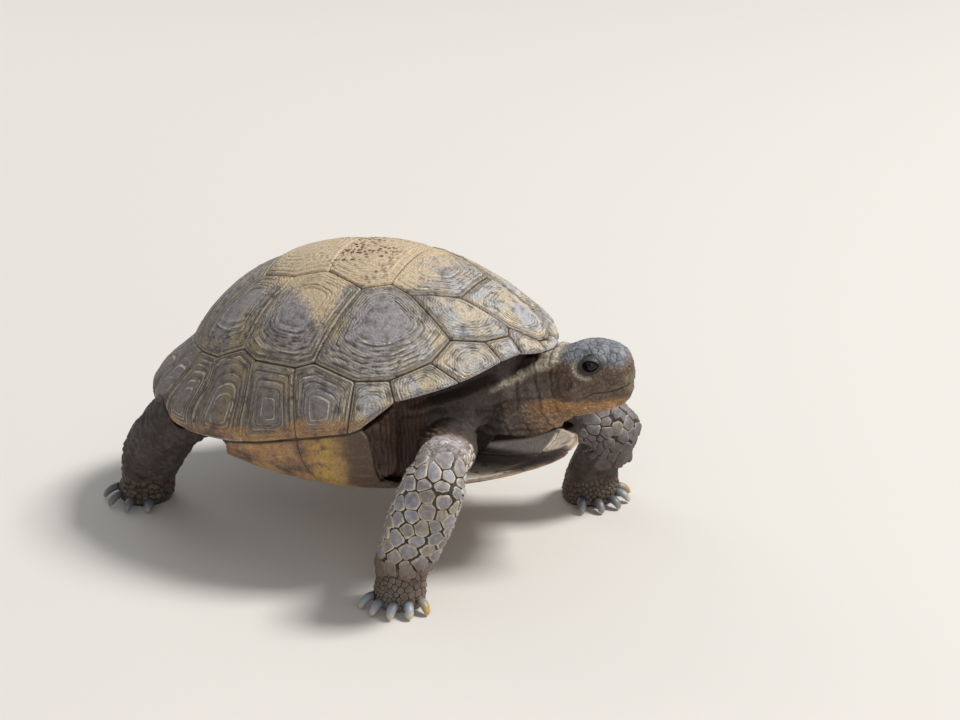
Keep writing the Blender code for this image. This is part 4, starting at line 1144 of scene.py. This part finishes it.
def buildSkin(material):
    piece = joinedFlesh()
    refine(piece, lambda p: (unplace(p)[:, 0] > 0.106) & (np.abs(unplace(p)[:, 1]) < 0.03))
    ex, _, ez = face["eye"]

    def nearEye(p):
        q = unplace(p)
        aside = np.abs(q[:, 1])
        return (np.hypot(q[:, 0] - ex, q[:, 2] - ez) < 0.0095) & (aside > 0.005) & (aside < 0.03)

    refine(piece, nearEye)
    mesh = piece.data
    q = unplace(relax(readPoints(mesh), mesh, 6))
    onHead = (q[:, 0] > 0.106) & (np.abs(q[:, 1]) < 0.03)
    carved, part = carveHead(q[onHead])
    q[onHead] = carved
    marks = {key: np.zeros(len(q)) for key in part}
    for key, values in part.items():
        marks[key][onHead] = values
    writePoints(mesh, place(q))
    normal = readPoints(mesh, "normal")
    q = hollowUnderShell(q)
    high, relief = reliefAt(q, normal)
    calm = 1 - np.clip(marks["lid"] * 0.75 + marks["mouth"] + marks["socket"], 0, 1)
    sole = smoothStep(0.0012, 0.0030, q[:, 2])
    world = place(q) + normal * (high * calm * sole)[:, None]
    world[:, 2] = np.maximum(world[:, 2], skin["floor"])
    writePoints(mesh, world)
    addMasks(mesh, {**marks, **relief, **skinMarks(q)})
    mesh.materials.clear()
    mesh.materials.append(material)
    mesh.shade_smooth()
    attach(piece, "root")
    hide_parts(*flesh)
    print("skin made:", len(mesh.vertices), "points")
    return piece


hide = {
    "brown": "#735d4c", "grey": "#aba19d", "slate": "#77797d", "ochre": "#b18350", "mauve": "#5d4634",
    "ruddy": "#70503d", "dark": "#29211d", "pale": "#c2b59f", "under": "#231b16",
}


def scalySkin():
    # Thick dry skin in small beaded scales: grey brown with paler scale tops, orange tan under the throat;
    # painted shade where the shade mask says and in the mouth, nostrils and wrinkle valleys, a strip of
    # painted sunlight along the neck
    first = (  # mask, paint, strength; the mottle lies between the first ones and the rest
        ("grey", "grey", 1.0), ("ruddy", "ruddy", 0.8), ("shade", "dark", 0.85), ("crown", "pale", 0.95),
        ("mauve", "mauve", 0.9), ("slate", "slate", 1.0), ("ochre", "ochre", 0.9),
    )
    rest = (
        ("ring", "pale", 0.75), ("lid", "dark", 0.80), ("groove", "dark", 0.55), ("pocket", "ruddy", 0.35),
        ("under", "under", 0.92), ("ear", "dark", 0.35), ("mouth", "dark", 1.0), ("nostril", "dark", 1.0),
        ("socket", "dark", 1.0),
    )
    made, tree, where, read = startMaterial(
        "dryScalySkin", [mask for mask, _, _ in first + rest] + ["tone"],
        (("fine", 0.0013, 4.0), ("lumps", 0.0075, 4.0)))
    read["beads"] = addNode(tree, "TexVoronoi", None, {"Vector": where, "Scale": 1 / 0.0012})
    addRun(tree, read, (
        ("grain", "MapRange", None, "tone", 0.0, 1.0, 0.70, 1.28),
        ("soft", "MapRange", None, "lumps", 0.3, 0.7, 0.72, 1.25),
        ("mottle", "Math", multiply, "grain", "soft"),
        ("height", "Math", {"operation": "SUBTRACT"}, "fine", "beads"),
    ))
    first, rest = ([(mask, hide[paint], much) for mask, paint, much in layers] for layers in (first, rest))
    colour = paintOver(tree, read, hide["brown"], first)
    colour = addNode(tree, "MixRGB", darkened, {0: 1.0, 1: colour, 2: read["mottle"]})
    colour = paintOver(tree, read, colour, rest)
    return finishMaterial(made, {"Base Color": colour, "Roughness": 0.62}, read["height"], 0.45, 0.0004)


skinPiece = buildSkin(scalySkin())


# horny scales that stand on the skin

coats = {                  # metres: across the largest and smallest scales, their height, where they end
    "foreleg_right": {"large": 0.0100, "small": 0.0036, "high": 0.00120, "outer": 0.0275, "inner": 0.036,
                      "top": 0.0985, "facing": (0.30, 0.95), "seed": 11},
    "foreleg_left": {"large": 0.0092, "small": 0.0040, "high": 0.00125, "outer": 0.034, "inner": 0.042,
                     "top": 0.076, "facing": (1.05, 0.25), "seed": 12},
}
footCoats = (              # foot, largest, smallest, height, top, seed
    ("hindleg_right", 0.0042, 0.0030, 0.00035, 0.019, 13),
    ("hindleg_left", 0.0042, 0.0030, 0.00035, 0.019, 14),
    ("forefoot_right", 0.0042, 0.0030, 0.00055, 0.0255, 15),
    ("forefoot_left", 0.0036, 0.0028, 0.00060, 0.019, 16),
)
for foot, large, small, high, top, seed in footCoats:
    coats[foot] = {"large": large, "small": small, "high": high, "outer": 0.004, "inner": 0.004,
                   "top": top, "facing": (0.30, 0.95), "seed": seed}
scales = {
    "gap": 0.00042,        # between two scales
    "big": 0.0045,         # from here up a scale has more corners and rows
    "sharpness": 36,       # how straight the sides are where scales meet
    "patch": 0.0015,       # a scale's width on the unwrap, where the whole sheet is 1
    "candidates": 14000, "sample": 9000,
}
# rows of a scale from its foot to its top: width, height, how worn
bigRows = ((1.0, -0.55, 0.0), (1.0, 0.35, 1.0), (0.93, 0.68, 0.65), (0.75, 0.84, 0.05), (0.40, 0.93, 0.0))
smallRows = ((1.0, -0.55, 0.0), (1.0, 0.15, 1.0), (0.84, 0.70, 0.4), (0.45, 0.95, 0.0))


def facing(normal, q, coat):
    # how far a point of a leg faces forwards and out, where its scales are largest
    side = np.where(q[:, 1] < 0, -1.0, 1.0)
    ahead, aside = coat["facing"]
    return smoothStep(-0.25, 0.60, -normal[:, 1] * ahead + normal[:, 0] * side * aside)


def legOf(limb):
    return limb.replace("forefoot", "foreleg")


def coatShare(q, normal, limb):
    # 1 where a limb carries scales; the lower end rises towards the inner side
    coat = coats[limb]
    low = coat["inner"] + (coat["outer"] - coat["inner"]) * facing(normal, q, coat)
    away, _, _ = limbRun(q, legOf(limb))
    reach = smoothStep(0.030, 0.027, away)
    reach = reach * smoothStep(0.026, 0.036, np.linalg.norm(q - limbs[legOf(limb)][0], axis=1))
    up = q[:, 2] + 0.003 * softNoise(place(q), 0.010, 111)
    share = smoothStep(low - 0.001, low + 0.001, up)
    return share * smoothStep(coat["top"] + 0.003, coat["top"] - 0.003, up) * reach


def scatter(points, spacing, rng):
    # points chosen from the given ones, no two closer than the spacing there
    order = rng.permutation(len(points))
    grid, kept = {}, []
    keys = np.floor(points / spacing.max()).astype(int)
    around = list(product((-1, 0, 1), repeat=3))
    for i in order.tolist():
        kx, ky, kz = keys[i]
        near = [j for a, b, c in around for j in grid.get((kx + a, ky + b, kz + c), ())]
        if near:
            gap = np.linalg.norm(points[near] - points[i], axis=1)
            if (gap < (spacing[near] + spacing[i]) * 0.5).any():
                continue
        grid.setdefault((kx, ky, kz), []).append(i)
        kept.append(i)
    return np.array(kept)


def unwrapPlace(p):
    # the skin's own unwrap: each limb is a strip of the sheet, turned round its centre line
    q = unplace(p)
    nearest, along, heading = bodyPlace(q)
    side = unit(np.cross(heading, np.array([0.3, 0.2, 1.0]) + np.zeros_like(heading)))
    over = np.cross(side, heading)
    names = list(limbs)
    middle = np.zeros_like(q)
    for number, name in enumerate(names):
        rows = nearest == number
        line = np.array(limbs[name])
        steps = np.concatenate([[0], np.cumsum(np.linalg.norm(np.diff(line, axis=0), axis=1))])
        middle[rows] = np.stack([np.interp(along[rows], steps, line[:, k]) for k in range(3)], -1)
    away = q - middle
    turn = np.arctan2((away * over).sum(-1), (away * side).sum(-1)) / (2 * math.pi) + 0.5
    u = (nearest + 0.05 + 0.90 * turn) / len(names)
    v = 0.05 + 0.90 * np.clip(along / 0.20, 0, 1)
    return np.stack([u, v], -1)


def treeOf(points):
    tree = KDTree(len(points))
    for i, p in enumerate(points):
        tree.insert(p, i)
    tree.balance()
    return tree


def scaleRoots(coat, skinTree, world, normal, rng):
    # where the scales stand on the skin, how wide each is and which way it faces
    out = facing(normal, unplace(world), coat)
    size = coat["small"] + (coat["large"] - coat["small"]) * out ** 1.3
    size = size * (1 + 0.30 * softNoise(world, 0.010, 121))
    pick = rng.permutation(len(world))[:scales["candidates"]]
    kept = pick[scatter(world[pick], size[pick] * 0.80, rng)]
    root = world[kept]
    sample = world[pick[:scales["sample"]]]
    # even the spacing out: each root moves to the middle of the points nearest to it
    for _ in range(3):
        tree = treeOf(root)
        owner = np.array([tree.find(p)[1] for p in sample])
        count = np.bincount(owner, minlength=len(root))
        moved = np.stack([np.bincount(owner, sample[:, k], len(root)) for k in range(3)], -1)
        root = np.where(count[:, None] > 2, moved / np.maximum(count, 1)[:, None], root)
    root = np.array([skinTree.find_nearest(Vector(p))[0][:] for p in root])
    return root, size[kept], unit(normal[kept])


def scaleCoat(limb, skinTree, world, normal, material):
    coat = coats[limb]
    rng = np.random.default_rng(coat["seed"])
    root, across, up = scaleRoots(coat, skinTree, world, normal, rng)
    tree = treeOf(root)
    _, _, heading = bodyPlace(unplace(root))
    down = np.stack([heading[:, 1], -heading[:, 0], heading[:, 2]], -1)
    down = unit(down - up * (down * up).sum(-1)[:, None])
    left = np.cross(up, down)
    points, faces, uvs, rim, tone = [], [], [], [], []
    rootUv = unwrapPlace(root)
    power = scales["sharpness"]
    for i, s in enumerate(across):
        base = len(points)
        count, rows = (18, bigRows) if s > scales["big"] else (12, smallRows)
        turn = np.arange(count) * 2 * math.pi / count
        near = [j for _, j, _ in tree.find_range(Vector(root[i]), s * 2.3) if j != i]
        near = [j for j in near if up[i] @ up[j] > 0.1]
        ray = np.stack([np.cos(turn), np.sin(turn)], -1)
        # a polygon whose sides lie half way to the scales round it
        reach = np.full(count, (1 / (s * 0.95)) ** power)
        for j in near:
            step = root[j] - root[i]
            flat = np.array([step @ left[i], step @ down[i]])
            long = np.linalg.norm(flat)
            half = long * s / (s + across[j])
            reach += np.maximum(ray @ flat / long / max(half, 1e-5), 0) ** power
        radius = reach ** (-1 / power) - scales["gap"] * 0.5
        high = coat["high"] * (0.55 + 0.45 * min(s / coat["large"], 1.2)) * rng.uniform(0.85, 1.15)
        tilt = rng.uniform(0.65, 1.15)  # the lower edge stands higher
        for width, level, worn in rows:
            flat = ray * (radius * width)[:, None]
            lift = np.full(count, level * high)
            if level > 0:
                lift += high * tilt * flat[:, 1] / s
            for p, rise in zip(root[i] + flat[:, :1] * left[i] + flat[:, 1:] * down[i], lift):
                points.append(skinTree.find_nearest(Vector(p))[0] + Vector(up[i]) * rise)
            uvs.append(rootUv[i] + flat / s * scales["patch"])
            rim += [worn] * count
        hub = len(points)
        points.append(skinTree.find_nearest(Vector(root[i]))[0] + Vector(up[i]) * high * 0.96)
        uvs.append(rootUv[i][None])
        index = base + np.arange(count * len(rows)).reshape(-1, count)
        faces += ringFaces(index, flip=True).tolist()
        faces += np.stack([index[-1], np.roll(index[-1], -1), np.full(count, hub)], -1).tolist()
        faces.append(index[0][::-1].tolist())
        rim.append(0.0)
        tone += [rng.uniform()] * (count * len(rows) + 1)
    points = np.array([p[:] for p in points])
    marks = {"rim": rim, "tone": tone, **skinMarks(unplace(points))}
    piece = makePiece(limb + "_scales", points, faces, material, marks)
    layer = piece.data.uv_layers.new(name="OFBake")
    corner = np.empty(len(piece.data.loops), np.int32)
    piece.data.loops.foreach_get("vertex_index", corner)
    layer.data.foreach_set("uv", np.concatenate(uvs)[corner].astype(np.float32).ravel())
    print(piece.name, len(root), "scales,", sum(len(corners) - 2 for corners in faces), "triangles")


def scaleHorn():
    # Flat horny scales: matt slate grey with worn tan edges, some tan all over, browner towards the sole,
    # and painted shade where the skin's shade mask says
    made, tree, _, read = startMaterial(
        "hornyScales", ("rim", "tone", "ruddy", "shade", "patch", "foot"),
        (("fine", 0.0012, 4.0), ("lumps", 0.0032, 5.0)))
    tones = ((0.0, "#6f6d70"), (0.35, "#85848a"), (0.65, "#7c7a80"), (0.88, "#8a8178"), (1.0, "#716a66"))
    colour = addNode(tree, "ValToRGB", {"stops": tones}, {"Fac": read["tone"]})
    colour = paintOver(tree, read, colour, (
        ("patch", "#a18f76", 0.12), ("rim", "#d3c4ac", 0.80), ("ruddy", hide["ruddy"], 0.50),
        ("shade", "#372e28", 0.85), ("foot", "#51402f", 0.75),
    ))
    addRun(tree, read, (("soil", "MapRange", None, "lumps", 0.34, 0.66, 0.80, 1.34),))
    colour = addNode(tree, "MixRGB", darkened, {0: 1.0, 1: colour, 2: read["soil"]})
    return finishMaterial(made, {"Base Color": colour, "Roughness": 0.6}, read["fine"], 0.4, 0.0003)


def buildCoats(piece):
    mesh = piece.data
    world, normal = readPoints(mesh), readPoints(mesh, "normal")
    nearest, _, _ = bodyPlace(unplace(world))
    names = list(limbs)
    share = {limb: np.zeros(len(world)) for limb in coats}
    for limb in coats:
        rows = nearest == names.index(legOf(limb))
        share[limb][rows] = coatShare(unplace(world[rows]), normal[rows], limb)
    # under its scales the skin lies as deep as they stand high
    depth = np.max([share[limb] * coats[limb]["high"] for limb in coats], axis=0)
    world = world - normal * relax(depth, mesh, 8, 0.5, 0.5)[:, None]
    writePoints(mesh, world)
    skinTree = BVHTree.FromObject(piece, bpy.context.evaluated_depsgraph_get())
    horn = scaleHorn()
    for limb in coats:
        rows = share[limb] > 0.5
        scaleCoat(limb, skinTree, world[rows], normal[rows], horn)
    addMasks(mesh, {"under": np.max(list(share.values()), axis=0)})


buildCoats(skinPiece)


# claws, eyes and beak

claw = {
    "wide": 0.0031, "high": 0.0027, "rows": 15, "around": 16,
    "bow": 0.0016, "bowAhead": 0.0004,   # how far its middle stands up and ahead of a straight line
    "ends": 0.0012,                      # the depth of the CAD claw's two ends, where root and tip are
    "flat": 0.72,                        # of its underside
}
clawTones = {
    "pale": ((0.0, "#433c37"), (0.34, "#75777d"), (0.78, "#94959a"), (0.99, "#bdb097")),
    "amber": ((0.0, "#433c37"), (0.38, "#827f76"), (0.80, "#a0874f"), (0.99, "#b59558")),
    # the dark tones are painted shade, for the claws that sit in shade
    "dark": ((0.0, "#2a2624"), (0.35, "#4c4c50"), (0.80, "#686a6e"), (1.0, "#8b867a")),
}
amberClaws = ("forefoot_right_claw_5", "forefoot_left_claw_5")


def clawHorn(tone):
    # Layered horn, duller at the root, worn pale and smooth at the tip
    made, tree, _, read = startMaterial(tone + "ClawHorn", ("along",), (("fine", 0.0012, 4.0),))
    addRun(tree, read, (
        ("shifted", "Math", multiplyAdd, "fine", 0.22, "along"),
        ("colour", "ValToRGB", {"stops": clawTones[tone]}, "shifted"),
    ))
    return finishMaterial(made, {"Base Color": read["colour"], "Roughness": 0.42}, read["fine"], 0.35, 0.0003)


def clawShape(node, foot):
    # a bowed cone with a flatter underside, from the root to the tip of the CAD's claw
    low, high = (np.array(corner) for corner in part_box(foot))
    shape = readPoints(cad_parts[node].data)
    ahead = (shape.mean(0) - (low + high) / 2) * [1, 1, 0]
    ahead = unit(ahead)
    run = shape @ ahead
    root = shape[run < run.min() + claw["ends"]].mean(0)
    tip = shape[run > run.max() - claw["ends"]].mean(0)
    across = unit(np.cross(ahead, [0, 0, 1.0]))
    t = np.linspace(0, 1, claw["rows"])
    bow = (np.array([0, 0, claw["bow"]]) + ahead * claw["bowAhead"]) * (4 * t * (1 - t))[:, None]
    centre = root * (1 - t)[:, None] + tip * t[:, None] + bow
    above = unit(np.cross(across, unit(np.gradient(centre, axis=0))))
    above = above * np.sign(above[:, 2:3] + 1e-9)
    width = claw["wide"] * (1 - 0.34 * t ** 2.4) * np.sqrt(np.maximum(1 - t ** 9, 0))
    width = (width * (1 + 0.03 * np.sin(t * 40)))[:, None]
    turn = np.arange(claw["around"]) * 2 * math.pi / claw["around"]
    flat = np.where(np.sin(turn) < 0, claw["flat"], 1.0) * claw["high"] / claw["wide"]
    ring = centre[:, None] + across * (width * np.cos(turn))[..., None]
    ring = ring + above[:, None] * (width * np.sin(turn) * flat)[..., None]
    points = ring.reshape(-1, 3)
    points[:, 2] = np.maximum(points[:, 2], 0.0001)
    index = np.arange(len(points)).reshape(len(t), -1)
    faces = ringFaces(index, flip=True).tolist() + [index[0][::-1].tolist(), index[-1].tolist()]
    inward = np.cross(ring[0, 1] - ring[0, 0], ring[1, 0] - ring[0, 0]) @ (ring[0, 0] - centre[0])
    if inward > 0:
        faces = [corners[::-1] for corners in faces]
    return points, faces, {"along": np.repeat(t, len(turn))}


def buildClaws():
    horn = {tone: clawHorn(tone) for tone in clawTones}
    for node in [name for name in cadNodes if "_claw_" in name]:
        foot, number = node.split("_claw_")
        # the hind claws and three of the far forefoot's get the dark tones: painted shade
        shaded = foot.startswith("hind") or (foot == "forefoot_left" and number in "123")
        tone = "amber" if node in amberClaws else "dark" if shaded else "pale"
        points, faces, marks = clawShape(node, foot)
        piece = makePiece(node + "_nail", points, faces, horn[tone], marks)
        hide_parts(node)


eye = {
    "cornea": 0.00035, "corneaWide": 0.0027, "inside": 0.0002, "rows": 33, "around": 40,
    "gaze": (-0.28, 0.10),               # back or forwards in the scene, and up
}


def eyeGlass():
    # A wet dark eye: black pupil, faint green-brown iris, dark white of the eye
    made, tree, _, read = startMaterial("wetDarkEye", ("gaze",), (("fine", 0.0006, 3.0),))
    stops = ((0.34, "#020202"), (0.38, "#1d1c12"), (0.44, "#15150f"), (0.50, "#0b0a08"), (0.56, "#050504"))
    addRun(tree, read, (
        ("ring", "Math", multiplyAdd, "fine", 0.06, "gaze"), ("colour", "ValToRGB", {"stops": stops}, "ring"),
    ))
    return finishMaterial(made, {"Base Color": read["colour"], "Roughness": 0.10, "Specular IOR Level": 0.30})


def buildEyes():
    material = eyeGlass()
    around = eye["around"]
    for node, side in (("eye_right", -1.0), ("eye_left", 1.0)):
        radius = face["eyeRadius"] - eye["inside"]
        middle = place(np.array(face["eye"]) * [1, side, 1])
        out = unit(np.array([side, *eye["gaze"]]))
        up = unit(np.cross(out, [0, 1.0, 0]))
        theta = np.linspace(0, math.pi, eye["rows"])[1:-1]
        turn = (np.arange(around) * 2 * math.pi / around)[:, None]
        swell = radius + eye["cornea"] * np.exp(-((radius * theta / eye["corneaWide"]) ** 4))
        wheel = up * np.cos(turn) + np.cross(up, out) * np.sin(turn)
        rings = out * (swell * np.cos(theta))[:, None, None]
        rings = rings + wheel[None] * (swell * np.sin(theta))[:, None, None]
        front = out * (radius + eye["cornea"])
        points = np.concatenate([[front], rings.reshape(-1, 3), [-out * radius]]) + middle
        index = 1 + np.arange(len(theta) * around).reshape(-1, around)
        after = np.roll(index, -1, axis=1)
        faces = ringFaces(index).tolist()
        faces += np.stack([np.zeros(around, int), index[0], after[0]], -1).tolist()
        faces += np.stack([np.full(around, len(points) - 1), after[-1], index[-1]], -1).tolist()
        if np.cross(rings[0, 0] - out * radius, rings[0, 1] - rings[0, 0]) @ out < 0:
            faces = [corners[::-1] for corners in faces]
        gaze = np.repeat(np.sin(np.minimum(theta, math.pi / 2)), around)
        gaze = np.concatenate([[0], gaze, [1 / radius]])
        piece = makePiece(node + "_ball", points, faces, material, {"gaze": gaze})
        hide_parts(node)


def beakHorn():
    # Horn sheath of the jaws: tan with green-brown streaks, smoother than the skin round it, with painted
    # shade along the mouth's cleft
    made, tree, _, read = startMaterial(
        "beakHorn", ("mouth",), (("lumps", 0.004, 4.0), ("fine", 0.0008, 4.0)))
    stops = ((0.30, "#43382c"), (0.50, "#5b4f3a"), (0.70, "#716547"))
    colour = addNode(tree, "ValToRGB", {"stops": stops}, {"Fac": read["lumps"]})
    colour = addNode(tree, "MixRGB", None, {0: read["mouth"], 1: colour, 2: hide["dark"]})
    return finishMaterial(made, {"Base Color": colour, "Roughness": 0.45}, read["fine"], 0.35, 0.0003)


beak = {  # above or below the mouth's line: height, how fast it grows forwards
    "beak_upper": (1, 0.0062, 0.55), "beak_lower": (-1, 0.0050, 0.35),
    "lip": 0.00025, "rear": 0.1410, "front": 0.150, "wall": 0.0009,
}


def buildBeak(skinPiece):
    # each sheath is lifted off the skin of the jaw, so it follows the lips exactly
    material = beakHorn()
    mesh = skinPiece.data
    world = readPoints(mesh)
    x, y, z = unplace(world).T
    fray = 0.0010 * softNoise(world, 0.0035, 131)
    for label in jaws:
        sign, high, grow = beak[label]
        rise = (z - lineAt(face["mouth"], x)) * sign
        near = (rise > beak["lip"]) & (rise < high + (x - beak["front"]) * grow + fray)
        wanted = near & (x > beak["rear"] + 0.4 * np.abs(rise) + fray) & (np.abs(y) < 0.02)
        bm = bmesh.new()
        bm.from_mesh(mesh)
        drop = [f for f in bm.faces if not all(wanted[v.index] for v in f.verts)]
        bmesh.ops.delete(bm, geom=drop, context="FACES")
        sheath = bpy.data.meshes.new(label + "_sheath")
        bm.to_mesh(sheath)
        bm.free()
        sheath.materials.clear()
        sheath.materials.append(material)
        piece = addObject(label + "_sheath", sheath)
        wall = piece.modifiers.new("wall", "SOLIDIFY")
        wall.thickness = beak["wall"]
        wall.offset = -0.3
        applyAll(piece)
        piece.data.shade_smooth()
        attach(piece, "root")
        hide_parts(label)


buildClaws()
buildEyes()
buildBeak(skinPiece)
print("claws, eyes and beak made")


# floor, light and camera

studio = {
    "aim": (0.0354, -0.0602, 0.1046), "distance": 1.37, "azimuth": 66.28, "elevation": 21.68, "lens": 82.5,
    "floor": "#cdc8c0", "floorHalf": 6.0, "sky": "#e8ecf2", "skyStrength": 0.42,
    "lamps": (              # name, place, width, watts
        ("sunward", (1.55, -2.85, 4.30), 1.3, 330),
        ("fill", (-1.7, -0.9, 0.9), 1.6, 9),
        ("behind", (0.9, 1.6, 1.1), 1.4, 7),
    ),
}


def buildStudio():
    made = startMaterial("mattPaper")[0]
    finishMaterial(made, {"Base Color": studio["floor"], "Roughness": 0.9})
    half = studio["floorHalf"]
    mesh = bpy.data.meshes.new("floor")
    corners = [(-half, -half, 0), (half, -half, 0), (half, half, 0), (-half, half, 0)]
    mesh.from_pydata(corners, [], [(0, 1, 2, 3)])
    mesh.materials.append(made)
    addObject("floor", mesh)
    aim = Vector(studio["aim"])
    turn, rise = math.radians(studio["azimuth"]), math.radians(studio["elevation"])
    out = Vector((-math.sin(turn) * math.cos(rise), -math.cos(turn) * math.cos(rise), math.sin(rise)))
    camera = addObject("camera", bpy.data.cameras.new("camera"))
    camera.data.lens = studio["lens"]
    camera.data.sensor_width = 36
    camera.location = aim + out * studio["distance"]
    camera.rotation_euler = (-out).to_track_quat("-Z", "Y").to_euler()
    bpy.context.scene.camera = camera
    for name, spot, size, power in studio["lamps"]:
        light = addObject(name, bpy.data.lights.new(name, "AREA"))
        light.data.size = size
        light.data.energy = power
        light.location = spot
        light.rotation_euler = (aim - Vector(spot)).to_track_quat("-Z", "Y").to_euler()
    world = bpy.data.worlds.new("studio")
    bpy.context.scene.world = world
    world.use_nodes = True
    setInputs(world.node_tree, world.node_tree.nodes["Background"], {
        "Color": studio["sky"], "Strength": studio["skyStrength"]})
    bpy.context.scene.view_settings.view_transform = "Standard"


buildStudio()
print("floor, light and camera made")
